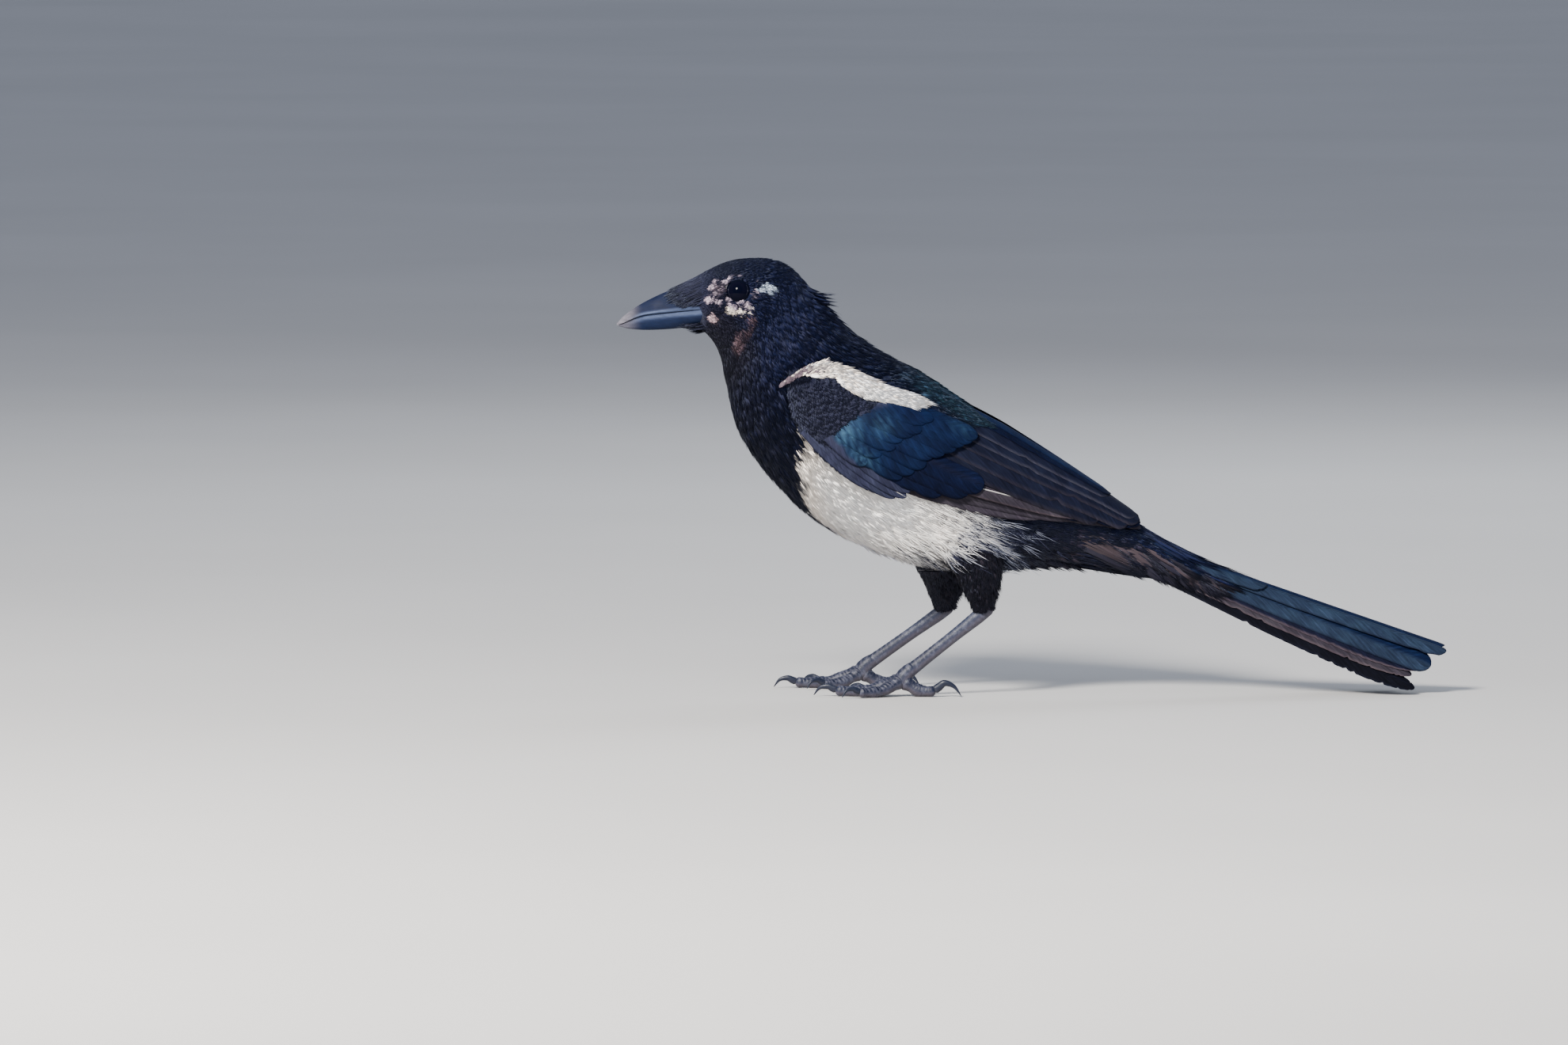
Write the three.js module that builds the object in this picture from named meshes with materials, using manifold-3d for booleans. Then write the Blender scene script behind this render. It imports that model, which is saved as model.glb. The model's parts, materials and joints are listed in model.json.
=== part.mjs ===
// Eurasian magpie, standing, life size: a still figure with every part a solid of its own.
// Millimetres, +Z up. The bird faces -X, its left side is -Y, and it stands on the plane Z = 0.
import * as THREE from "three";
import { mergeVertices } from "three/addons/utils/BufferGeometryUtils.js";
import Module from "manifold-3d";

const wasm = await Module();
wasm.setup();
const { Manifold, Mesh: SolidMesh } = wasm;

const GAP = 0.3; // air between two neighbouring parts
const SOCKET_GAP = 0.39; // the same round curved pieces, whose facets come nearer than their curves
const WELD = 1e-4; // points nearer than this are one point
const RAD = Math.PI / 180;

// Body form: ribs from the face to the tail base, each with its top [x, z], bottom [x, z] and half width
const RIBS = [
  { name: "face", top: [-152.1, 181.8], bottom: [-152.1, 162.8], half: 5.6 },
  { name: "forehead", top: [-146.5, 185.2], bottom: [-146.5, 161.2], half: 8.6 },
  { name: "brow", top: [-139.8, 188.8], bottom: [-143.3, 158.4], half: 12.8 },
  { name: "eye", top: [-132.1, 191.6], bottom: [-140.5, 155.2], half: 15.4 },
  { name: "crown", top: [-123.4, 192.6], bottom: [-138.1, 150.6], half: 17.0 },
  { name: "hind crown", top: [-113.6, 191.9], bottom: [-136.7, 145.4], half: 18.0 },
  { name: "nape top", top: [-105.0, 188.4], bottom: [-135.6, 138.4], half: 19.2 },
  { name: "nape", top: [-99.2, 182.6], bottom: [-134.6, 132.0], half: 21.4 },
  { name: "neck", top: [-93.4, 175.2], bottom: [-133.2, 124.4], half: 24.8 },
  { name: "low neck", top: [-85.6, 167.4], bottom: [-130.2, 115.4], half: 29.0 },
  { name: "shoulder", top: [-76.4, 158.0], bottom: [-123.4, 104.0], half: 31.8 },
  { name: "mantle", top: [-63.6, 150.4], bottom: [-112.8, 91.0], half: 33.6 },
  { name: "breast", top: [-48.2, 141.6], bottom: [-98.8, 77.4], half: 34.2 },
  { name: "back", top: [-31.0, 129.6], bottom: [-81.4, 67.2], half: 33.4 },
  { name: "belly", top: [-13.4, 118.0], bottom: [-62.0, 59.2], half: 31.2 },
  { name: "flank", top: [2.5, 107.2], bottom: [-41.0, 55.4], half: 28.0 },
  { name: "thigh line", top: [16.6, 97.6], bottom: [-21.8, 54.2], half: 24.0 },
  { name: "rump", top: [28.8, 89.2], bottom: [-1.0, 55.4], half: 21.0 },
  { name: "vent", top: [39.4, 81.4], bottom: [20.0, 55.4], half: 16.4 },
  { name: "tail coverts", top: [50.0, 74.0], bottom: [42.0, 53.6], half: 12.6 },
  { name: "tail base", top: [61.8, 65.4], bottom: [57.6, 50.8], half: 9.6 },
  { name: "quills", top: [76.0, 58.0], bottom: [72.0, 45.2], half: 9.4 },
];
const BODY_SQUARENESS = 2.15; // superellipse power of a rib
const BODY_COLUMNS = 28;
const BODY_ROWS = 36;
const END_CAP = 0.3; // length of the rounded ends, in ribs
const END_STEP = 7; // millimetres for one rib beyond an end
const NECK_CUT = { top: [-97.6, 183.5], bottom: [-137.4, 155.0] }; // head from neck
const TORSO_CUT = { top: [-79.5, 165.5], bottom: [-134.6, 119.5] }; // neck from torso
const TAIL_CUT = { top: [61.5, 70.0], bottom: [56.5, 46.0] }; // torso from tail

// Bill: stations from the tip back, with the ridge, the mouth line and the lower edge
const UPPER_BILL = [
  { x: -183.2, ridge: 163.4, mouth: 162.4, half: 0.4 },
  { x: -179.6, ridge: 167.1, mouth: 163.9, half: 1.35 },
  { x: -172.0, ridge: 172.3, mouth: 167.0, half: 2.8 },
  { x: -161.0, ridge: 177.6, mouth: 168.5, half: 4.8 },
  { x: -150.0, ridge: 181.2, mouth: 169.6, half: 7.0 },
  { x: -140.5, ridge: 182.8, mouth: 170.5, half: 8.0 },
];
const LOWER_BILL = [
  { x: -181.4, ridge: 162.3, mouth: 161.7, half: 0.4 },
  { x: -177.4, ridge: 164.3, mouth: 161.0, half: 1.25 },
  { x: -170.0, ridge: 167.0, mouth: 160.5, half: 2.5 },
  { x: -160.0, ridge: 168.2, mouth: 160.9, half: 4.3 },
  { x: -149.0, ridge: 169.3, mouth: 162.0, half: 6.6 },
  { x: -141.0, ridge: 170.0, mouth: 163.0, half: 7.6 },
];
const RIDGE_SHARPNESS = 0.22; // how far the sides of the upper bill draw in towards its ridge
const BILL_COLUMNS = 14;
const BILL_ROWS = 12;
const BILL_ROUNDNESS = 0.92; // power of the arch from the mouth to the ridge
const NOSTRIL = { x: -155.6, y: 5.6, z: 175.0, length: 2.6, height: 1.0, depth: 1.6 };
const GAPE = { from: -154.0, to: -142.6, z: 169.9, height: 0.6, width: 26 }; // the mouth line's back end

// Eyes: a ball sunk in the head, with a lid ring round it
const EYE = { station: 3.8, angle: 72, radius: 6.8, sunk: 5.5 };
const LID = { radius: 4.35, thickness: 0.75 };

// Feathers: places are [station, angle from the back in degrees] on the body form, or [distance from
// the tail's base, distance over its roof] on the tail, from the uppermost feather of a tier to the lowest.
const VANE = { thickness: 0.55, air: 0.35, tipThinning: 0.7, bow: 0.02 };
const PITCH = VANE.thickness + VANE.air; // from one vane to the next below it
const VANE_ROWS = {
  long: [[0, 0.5], [0.24, 0.84], [0.48, 0.98], [0.72, 1], [0.94, 0.74], [1, 0.24]],
  short: [[0, 0.65], [0.5, 1], [0.88, 0.82], [1, 0.26]],
}; // rows of a vane: share of its length, share of its width
const WING_CORE = {
  outline: [[9.3, 90], [9.6, 76], [10.3, 64], [11.4, 52], [12.7, 39], [13.2, 50], [13.3, 70], [13.1, 88],
    [12.8, 101], [11.6, 104], [10.4, 101]],
  centre: [11.5, 76], thickness: 4.6, sunk: 0.9, columns: 20, rows: 6, bluntness: 0.55,
};
const WING_TIERS = {
  tertials: { count: 3, rows: "long", columns: 3, base: 0.7, rise: 2.8, sink: 1.0,
    roots: [[12.4, 40], [12.4, 53]], tips: [[15.3, 19], [16.7, 15], [17.8, 13]], widths: [12, 11.5] },
  secondaries: { count: 4, rows: "long", columns: 3, base: 0.7, rise: 2.9, sink: 1.0,
    roots: [[12.4, 58.5], [12.4, 76]], tips: [[18.3, 18], [18.6, 29], [18.5, 42]], widths: [10.5, 9.5] },
  primaries: { count: 4, rows: "long", columns: 2, base: 0.6, rise: 2.6, sink: 0.8,
    roots: [[12.4, 81], [12.2, 97]], tips: [[19.3, 34], [18.4, 54], [16.6, 77]], widths: [7.5, 7] },
  primaryCoverts: { count: 3, rows: "short", columns: 2, base: 3.0, rise: 2.2, sink: 1.6,
    roots: [[12.0, 87], [11.8, 96]], tips: [[14.5, 79], [13.7, 92]], widths: [8, 7] },
  alula: { count: 2, rows: "short", columns: 2, base: 3.6, rise: 1.6, sink: 1.6,
    roots: [[10.9, 95], [10.7, 99.5]], tips: [[13.1, 94], [12.4, 101]], widths: [6, 5] },
  greaterCoverts: { count: 5, rows: "short", columns: 2, base: 4.0, rise: 2.8, sink: 2.6,
    roots: [[12.0, 52], [11.7, 88]], tips: [[13.9, 43], [13.6, 62], [13.2, 86]], widths: [11, 10.5] },
  rearScapulars: { count: 2, rows: "short", columns: 2, base: 3.4, rise: 1.6, sink: 3.4,
    roots: [[12.0, 42], [12.0, 52]], tips: [[14.3, 24], [13.8, 42]], widths: [11, 10] },
  whiteScapulars: { count: 2, rows: "short", columns: 2, base: 3.0, rise: 2.0, sink: 3,
    roots: [[10.0, 71], [11.3, 56]], tips: [[12.0, 60], [13.4, 48]], widths: [10.5, 10.5] },
};

// Tail: twelve feathers over a narrow roof, the middle pair on top
const TAIL_RIDGE = { from: [56.0, 65.4], to: [183.2, 21.4] };
const TAIL_ROOF = { radius: [6.5, 8.5], slope: 64 }; // round along the ridge, then straight down so steeply
const TAIL_SIDES = {
  left: { lengths: [51, 135.7, 131, 126, 124, 127], side: 1, first: 4 },
  right: { lengths: [134.5, 133, 129, 125, 122, 121], side: -1, first: 0.5 },
}; // feathers from the middle outwards; the middle left one is new and still short
const TAIL_FAN = { root: 15, tip: 28.5, widths: [11, 12], rise: 3.0, base: -2.0, sink: 1.4, start: 14 };
const TAIL_COVERTS = { count: 3, spread: 9, start: 2, length: 34, base: 0.5, width: 12 };

// Legs: feathered thigh, bare scaled tarsus and four clawed toes; left and right stand differently
const LEGS = {
  left: { side: -1, hip: [-30, -15.5, 74], knee: [-24.5, -19, 58], heel: [-21.5, -21, 37.0],
    toeBase: [-57.4, -23.5, 8.6], heading: 180 },
  right: { side: 1, hip: [-42, 15.5, 72], knee: [-40.5, 19, 55], heel: [-38.6, 21, 34.6],
    toeBase: [-75.0, 23.5, 8.6], heading: 180 },
};
const THIGH_RADII = [11.5, 13.0, 11.6, 8.4, 5.2, 3.4];
const TARSUS_RADII = [2.7, 2.9, 2.35, 2.1, 2.1, 2.2, 2.5, 2.9];
const TARSUS_COLUMNS = 8;
const SCUTES = 9;
const SCUTE_RISE = 0.22;
// length without claw, turn from the foot's heading (outer side positive), joints and claw size
const TOES = {
  hind: { length: 15, turn: 172, pads: 2, radius: 2.55, claw: { length: 11.5, radius: 1.75, rise: 3.4 } },
  inner: { length: 19, turn: -27, pads: 2, radius: 2.25, claw: { length: 8.4, radius: 1.35, rise: 1.5 } },
  middle: { length: 29.5, turn: -2, pads: 3, radius: 2.4, claw: { length: 9.6, radius: 1.5, rise: 1.7 } },
  outer: { length: 21.5, turn: 27, pads: 3, radius: 2.2, claw: { length: 8.4, radius: 1.35, rise: 1.5 } },
};
const CLAW_TIP = 0.4; // radius at a claw's point
const BALL = { length: 4.8, width: 4.2, height: 4.0, sunk: 0.4 };
const TOE_HEIGHT = 2.35; // of a toe's middle line above the ground

const paint = (color, roughness, metalness = 0) =>
  new THREE.MeshStandardMaterial({ color, roughness, metalness });
const MATERIALS = {
  blackPlumage: paint(0x14151d, 0.75),
  wingGloss: paint(0x16223c, 0.45, 0.15),
  tailGloss: paint(0x15303a, 0.42, 0.15),
  horn: paint(0x23252e, 0.4),
  skin: paint(0x2b2f3a, 0.6),
  eye: paint(0x070810, 0.08),
};

const clamp = (value, low, high) => Math.min(high, Math.max(low, value));
const mix = (a, b, t) => a + (b - a) * t;
const smooth = (low, high, value) => {
  const t = clamp((value - low) / (high - low), 0, 1);
  return t * t * (3 - 2 * t);
};
const signedPower = (value, power) => Math.sign(value) * Math.abs(value) ** power;
const vector = ([x, y, z]) => new THREE.Vector3(x, y, z);

// A closed geometry as a solid, turned to face outwards.
function solidOf(geometry) {
  const bare = new THREE.BufferGeometry();
  bare.setAttribute("position", geometry.getAttribute("position").clone());
  bare.setIndex(geometry.index ? geometry.index.clone() : null);
  const merged = mergeVertices(bare, WELD);
  const vertProperties = merged.getAttribute("position").array;
  const triVerts = new Uint32Array(merged.index.array);
  const made = new Manifold(new SolidMesh({ numProp: 3, vertProperties, triVerts }));
  if (made.volume() >= 0) return made;
  for (let i = 0; i < triVerts.length; i += 3) {
    [triVerts[i + 1], triVerts[i + 2]] = [triVerts[i + 2], triVerts[i + 1]];
  }
  return new Manifold(new SolidMesh({ numProp: 3, vertProperties, triVerts }));
}

// The largest closed surface of a solid, without loose scraps or sealed hollows.
function largest(solid) {
  return solid.decompose().reduce((best, next) => (next.volume() > best.volume() ? next : best));
}

// A named mesh from a solid.
function node(name, solid, material) {
  const { numProp, numVert, vertProperties, triVerts } = largest(solid).getMesh();
  const points = new Float32Array(numVert * 3);
  for (let i = 0; i < numVert; i++) {
    points.set(vertProperties.subarray(i * numProp, i * numProp + 3), i * 3);
  }
  const geometry = new THREE.BufferGeometry();
  geometry.setAttribute("position", new THREE.BufferAttribute(points, 3));
  geometry.setIndex(new THREE.BufferAttribute(new Uint32Array(triVerts), 1));
  geometry.computeVertexNormals();
  const mesh = new THREE.Mesh(geometry, material);
  mesh.name = name;
  return mesh;
}

// A closed skin: a sphere whose points are moved to pointAt(along 0..1, turn 0..2 pi).
function skin(columns, rows, pointAt) {
  const sphere = new THREE.SphereGeometry(1, columns, rows);
  const { position, uv } = sphere.attributes;
  for (let i = 0; i < position.count; i++) {
    const turn = (Math.round(uv.getX(i) * columns) % columns) / columns;
    const pole = uv.getY(i) > 1 - WELD || uv.getY(i) < WELD;
    const p = pointAt(1 - uv.getY(i), pole ? 0 : turn * 2 * Math.PI);
    position.setXYZ(i, p.x, p.y, p.z);
  }
  return solidOf(sphere);
}

// A limb along a curve, with radii spread evenly over it; flat sets its depth over its width, and tips how
// far each end rounds out.
function limb(path, radii, { columns, rows, across, flat = 1, tips = [1, 1], grow = 0 }) {
  const curve = new THREE.CatmullRomCurve3(path);
  return skin(columns, rows, (along, turn) => {
    const row = Math.round(along * rows);
    const t = clamp((row - 1) / (rows - 2), 0, 1);
    const centre = curve.getPoint(t);
    const ahead = curve.getTangent(t);
    const at = Math.min(t * (radii.length - 1), radii.length - 1 - WELD);
    const i = Math.floor(at);
    const radius = mix(radii[i], radii[i + 1], at - i) + grow;
    if (row <= 1) centre.addScaledVector(ahead, -grow);
    if (row >= rows - 1) centre.addScaledVector(ahead, grow);
    if (row === 0) return centre.addScaledVector(ahead, -tips[0] - grow);
    if (row === rows) return centre.addScaledVector(ahead, tips[1] + grow);
    const side = across.clone().addScaledVector(ahead, -across.dot(ahead)).normalize();
    const up = new THREE.Vector3().crossVectors(side, ahead);
    return centre
      .addScaledVector(side, Math.cos(turn) * radius)
      .addScaledVector(up, Math.sin(turn) * radius * flat);
  });
}

// A thin slab through two points of the side view, to part the body with.
function slab({ top, bottom }, thickness) {
  const length = 160;
  const box = new THREE.BoxGeometry(thickness, length, length);
  const lean = Math.atan2(top[0] - bottom[0], top[1] - bottom[1]);
  box.rotateY(lean);
  box.translate((top[0] + bottom[0]) / 2, 0, (top[1] + bottom[1]) / 2);
  return solidOf(box);
}

const topLine = new THREE.CatmullRomCurve3(
  RIBS.map(({ top, half }) => new THREE.Vector3(top[0], half, top[1])), false, "catmullrom", 0.5);
const bottomLine = new THREE.CatmullRomCurve3(
  RIBS.map(({ bottom, half }) => new THREE.Vector3(bottom[0], half, bottom[1])), false, "catmullrom", 0.5);
const LAST_RIB = RIBS.length - 1;

// A point on the body form: station along the ribs, angle from the back (90 is the left side), lift outwards.
function onBody(station, degrees, lift = 0) {
  const within = clamp(station, 0, LAST_RIB);
  const top = topLine.getPoint(within / LAST_RIB);
  const bottom = bottomLine.getPoint(within / LAST_RIB);
  const beyond = station - within;
  const shrink = Math.sqrt(Math.max(0, 1 - (beyond / END_CAP) ** 2));
  const centre = top.clone().add(bottom).multiplyScalar(0.5);
  const up = top.clone().sub(centre).setY(0);
  const height = up.length();
  up.normalize();
  const ahead = new THREE.Vector3(up.z, 0, -up.x);
  const c = signedPower(Math.cos(degrees * RAD), 2 / BODY_SQUARENESS);
  const s = signedPower(Math.sin(degrees * RAD), 2 / BODY_SQUARENESS);
  const point = centre.setY(0).addScaledVector(up, (height + lift) * c * shrink);
  point.y = -(top.y + lift) * s * shrink;
  return point.addScaledVector(ahead, beyond * END_STEP + Math.sign(beyond) * lift);
}

// The whole body form, from face to quill ends, grown outwards by lift.
function bodyForm(lift = 0) {
  const first = -END_CAP;
  const last = LAST_RIB + END_CAP;
  return skin(BODY_COLUMNS, BODY_ROWS, (along, turn) => onBody(mix(first, last, along), turn / RAD, lift));
}

// Half of the bill: an arch over the mouth plane, downwards for the lower half.
function billHalf(stations, inset, lift = 0) {
  const curve = (key) => new THREE.CatmullRomCurve3(
    stations.map((s) => new THREE.Vector3(s.x, s.half, s[key])), false, "catmullrom", 0.5);
  const ridge = curve("ridge");
  const mouth = curve("mouth");
  return skin(BILL_COLUMNS, BILL_ROWS, (along, turn) => {
    const over = ridge.getPoint(along);
    const under = mouth.getPoint(along);
    const [plane, crest] = inset > 0 ? [under.z, over.z] : [over.z - GAP, under.z];
    const end = along < WELD || along > 1 - WELD;
    const arch = Math.sin(turn);
    const draw = inset > 0 ? RIDGE_SHARPNESS : 0.1;
    const half = (over.y + lift) * (1 - draw * Math.max(0, arch));
    const reach = end ? 2 : along > 1 - 1.5 / BILL_ROWS ? 1 : 0;
    const point = new THREE.Vector3(over.x + lift * reach * (along < 0.5 ? -1 : 1), 0, (plane + crest) / 2);
    if (end) return point;
    const out = Math.sign(crest - plane);
    point.y = half * Math.cos(turn);
    point.z = arch > 0 ? plane + (crest - plane + out * lift) * arch ** BILL_ROUNDNESS : plane - out * lift;
    return point;
  });
}

// Where an eye sits on the head, and the way it faces; side is -1 on the left.
function eyePlace(side) {
  const step = 0.05;
  const here = onBody(EYE.station, EYE.angle);
  const alongHead = onBody(EYE.station + step, EYE.angle).sub(here);
  const roundHead = onBody(EYE.station, EYE.angle + step).sub(here);
  const out = new THREE.Vector3().crossVectors(roundHead, alongHead).normalize();
  if (out.y > 0) out.negate();
  const mirrored = (v) => v.setY(-side * v.y);
  return { rim: mirrored(here), out: mirrored(out) };
}

function eyeball(side, grow = 0) {
  const { rim, out } = eyePlace(side);
  const ball = new THREE.SphereGeometry(EYE.radius + grow, 14, 8);
  ball.rotateX(Math.PI / 2);
  const centre = rim.addScaledVector(out, -EYE.sunk);
  ball.translate(centre.x, centre.y, centre.z);
  return solidOf(ball);
}

// The raised rim of the lids, facing out from the eye.
function lids(side) {
  const { rim, out } = eyePlace(side);
  const ring = new THREE.TorusGeometry(LID.radius, LID.thickness, 5, 14);
  ring.applyQuaternion(new THREE.Quaternion().setFromUnitVectors(new THREE.Vector3(0, 0, 1), out));
  ring.translate(rim.x, rim.y, rim.z);
  return solidOf(ring);
}

function nostril(side) {
  const pit = new THREE.SphereGeometry(1, 12, 8);
  pit.scale(NOSTRIL.length, NOSTRIL.depth, NOSTRIL.height);
  pit.translate(NOSTRIL.x, side * NOSTRIL.y, NOSTRIL.z);
  return solidOf(pit);
}

// The slit at each corner of the mouth, behind the edges of the bill.
function gape() {
  const slit = new THREE.BoxGeometry(GAPE.to - GAPE.from, GAPE.width, GAPE.height);
  slit.translate((GAPE.from + GAPE.to) / 2, 0, GAPE.z);
  return solidOf(slit);
}

// A point along a list of control values, from 0 to 1; the values are numbers or pairs.
function along(values, t) {
  if (values.length === 1) return values[0];
  const pairs = values.map((v) => (Array.isArray(v) ? v : [v, 0]));
  const curve = new THREE.SplineCurve(pairs.map(([x, y]) => new THREE.Vector2(x, y)));
  const p = curve.getPoint(t);
  return Array.isArray(values[0]) ? [p.x, p.y] : p.x;
}

// A thin vane lying on a surface. Its middle lies at liftAt(t), and it leans by rise over its full width,
// so that its lower edge stands over the next vane.
function vane(surface, { root, tip, width, rows, columns, rise, liftAt }) {
  const steps = columns === 3 ? [-1, 0, 1] : [-1, 1];
  const points = [];
  const along3 = new THREE.Vector3();
  for (const [t, share] of VANE_ROWS[rows]) {
    const last = t === 1;
    const u = mix(root[0], tip[0], t);
    const v = mix(root[1], tip[1], t);
    const here = surface(u, v, 0);
    const step = 0.02;
    const alongU = surface(u + step, v, 0).sub(here).divideScalar(step);
    const alongV = surface(u, v + step, 0).sub(here).divideScalar(step);
    along3.copy(alongU).multiplyScalar(tip[0] - root[0]).addScaledVector(alongV, tip[1] - root[1]);
    const across = alongV.clone().projectOnPlane(along3.normalize()).normalize();
    const [uu, uv, vv] = [alongU.dot(alongU), alongU.dot(alongV), alongV.dot(alongV)];
    const [cu, cv] = [across.dot(alongU), across.dot(alongV)];
    const du = (cu * vv - cv * uv) / (uu * vv - uv * uv);
    const dv = (cv * uu - cu * uv) / (uu * vv - uv * uv);
    for (const face of [last ? VANE.thickness * VANE.tipThinning : VANE.thickness, 0]) {
      for (const column of steps) {
        const reach = (column * share * width) / 2;
        const back = last ? Math.abs(column) * VANE.bow : 0;
        points.push(surface(
          u + du * reach - (tip[0] - root[0]) * back,
          v + dv * reach - (tip[1] - root[1]) * back,
          liftAt(t) + (column * rise * (t > 0 && t < 0.5 ? 1 : share)) / 2 + face));
      }
    }
  }
  const index = [];
  const quad = (a, b, c, d) => index.push(a, b, c, a, c, d);
  const ring = 2 * columns;
  const last = points.length - ring;
  for (let i = 0; i < last; i += ring) {
    for (let a = i; a < i + columns - 1; a++) {
      quad(a, a + 1, a + 1 + ring, a + ring);
      const under = a + columns;
      index.push(under, under + 1 + ring, under + 1, under, under + ring, under + 1 + ring);
    }
    quad(i, i + ring, i + ring + columns, i + columns);
    const end = i + columns - 1;
    quad(end, end + columns, end + columns + ring, end + ring);
  }
  for (let a = 0; a < columns - 1; a++) {
    quad(a, a + columns, a + columns + 1, a + 1);
    quad(last + a, last + a + 1, last + a + columns + 1, last + a + columns);
  }
  const geometry = new THREE.BufferGeometry().setFromPoints(points);
  geometry.setIndex(index);
  return solidOf(geometry);
}

// A tier of vanes like roof tiles: each lies over the next lower one, whose lower edge shows.
function tier(surface, { count, rows, columns, base, rise, sink, roots, tips, widths }) {
  return Array.from({ length: count }, (_, i) => {
    const share = i / (count - 1);
    return vane(surface, {
      root: along(roots, share), tip: along(tips, share), width: along(widths, share), rows, columns, rise,
      liftAt: (t) => base + rise / 2 - sink * (1 - smooth(0, 0.35, t)),
    });
  });
}

// The pad that a folded wing's feathers grow from, as a closed pillow on the body form.
function wingCore() {
  const { outline, centre, thickness, sunk, columns, rows, bluntness } = WING_CORE;
  const edge = new THREE.CatmullRomCurve3(outline.map(([s, a]) => new THREE.Vector3(s, a, 0)), true);
  return skin(columns, rows, (across, turn) => {
    const rim = edge.getPoint(turn / (2 * Math.PI));
    const reach = Math.sin(across * Math.PI) ** bluntness;
    const face = signedPower(Math.cos(across * Math.PI), bluntness);
    const height = face * (face > 0 ? thickness : sunk);
    return onBody(mix(centre[0], rim.x, reach), mix(centre[1], rim.y, reach), height + 0.8);
  });
}

function wing() {
  const vanes = Object.values(WING_TIERS).flatMap((one) => tier(onBody, one));
  return Manifold.union([wingCore(), ...vanes]);
}

// A point on the tail's roof: distance from its base, distance over the roof from the ridge, lift.
function onTail(alongRidge, over, lift = 0) {
  const from = new THREE.Vector3(TAIL_RIDGE.from[0], 0, TAIL_RIDGE.from[1]);
  const ahead = new THREE.Vector3(TAIL_RIDGE.to[0], 0, TAIL_RIDGE.to[1]).sub(from);
  const length = ahead.length();
  ahead.normalize();
  const up = new THREE.Vector3(-ahead.z, 0, ahead.x);
  const radius = mix(...TAIL_ROOF.radius, alongRidge / length);
  const bend = Math.min(Math.abs(over) / radius, TAIL_ROOF.slope * RAD);
  const hang = Math.abs(over) - bend * radius;
  const rise = (radius + lift) * Math.cos(bend) - radius - hang * Math.sin(bend);
  const out = (radius + lift) * Math.sin(bend) + hang * Math.cos(bend);
  return from.addScaledVector(ahead, alongRidge).addScaledVector(up, rise).setY(-Math.sign(over) * out);
}

// The tail's feathers: each half is a tier from the middle outwards.
function tailVanes() {
  const { root, tip, widths, rise, base, sink, start } = TAIL_FAN;
  const vanes = [];
  for (const { lengths, side, first } of Object.values(TAIL_SIDES)) {
    lengths.forEach((length, i) => {
      const share = i / (lengths.length - 1);
      const lift = base + rise / 2 + (i === 0 && side > 0 ? PITCH : 0);
      vanes.push(vane((u, v, h) => onTail(u, v * side, h), {
        root: [start, mix(first, root, share)], tip: [length, mix(first, tip, share)],
        width: mix(...widths, share), rows: "long", columns: 3, rise,
        liftAt: (t) => lift - sink * (1 - smooth(0, 0.2, t)),
      }));
    });
  }
  return vanes;
}

// Small feathers that cover the tail's base.
function tailCoverts() {
  const { count, spread, start, length, base, width } = TAIL_COVERTS;
  return Array.from({ length: count }, (_, i) => {
    const side = mix(-1, 1, i / (count - 1));
    return vane(onTail, {
      root: [start, side * spread], tip: [start + length * (1 - 0.3 * Math.abs(side)), side * spread * 1.1],
      width, rows: "short", columns: 2, rise: 0, liftAt: (t) => base - 2 * (1 - smooth(0, 0.4, t)),
    });
  });
}

const thigh = ({ hip, knee, heel }) => limb([hip, knee, heel].map(vector), THIGH_RADII,
  { columns: 16, rows: 11, across: new THREE.Vector3(0, 1, 0), flat: 1.05, tips: [6, 1.2] });

// The bare tarsus, with scutes stepping down its front.
function tarsus({ heel, toeBase }, grow = 0) {
  const from = vector(heel);
  const to = vector(toeBase);
  const rings = SCUTES * 2 + 2;
  const curve = new THREE.LineCurve3(from.clone().lerp(to, -0.06), to);
  const ahead = curve.getTangent(0);
  const side = new THREE.Vector3(0, 1, 0).addScaledVector(ahead, -ahead.y).normalize();
  const up = new THREE.Vector3().crossVectors(side, ahead);
  return skin(TARSUS_COLUMNS, rings, (along, turn) => {
    const row = Math.round(along * rings);
    const scute = Math.floor((row - 1) / 2);
    const lower = row % 2 === 0;
    const t = clamp((scute + (lower ? 0.82 : 0)) / SCUTES, 0, 1);
    const at = t * (TARSUS_RADII.length - 1);
    const i = Math.min(Math.floor(at), TARSUS_RADII.length - 2);
    const rise = lower && Math.sin(turn) > -0.2 ? SCUTE_RISE : 0;
    const radius = mix(TARSUS_RADII[i], TARSUS_RADII[i + 1], at - i) + rise + grow;
    const point = curve.getPoint(t);
    if (row === 0 || row === rings) return point.addScaledVector(ahead, (row ? 1 : -1) * (1.4 + 2 * grow));
    if (row === 1) point.addScaledVector(ahead, -grow);
    if (row === rings - 1) point.addScaledVector(ahead, grow);
    return point
      .addScaledVector(side, Math.cos(turn) * radius * 0.88)
      .addScaledVector(up, Math.sin(turn) * radius);
  });
}

// The way a toe points along the ground.
function toeWay(leg, toe) {
  const heading = (leg.heading - leg.side * toe.turn) * RAD;
  return new THREE.Vector3(Math.cos(heading), Math.sin(heading), 0);
}

// A point over the line of a toe: distance from the toe base, height above the ground.
const overToe = (leg, toe, distance, height) =>
  vector(leg.toeBase).addScaledVector(toeWay(leg, toe), distance).setZ(height);

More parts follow.
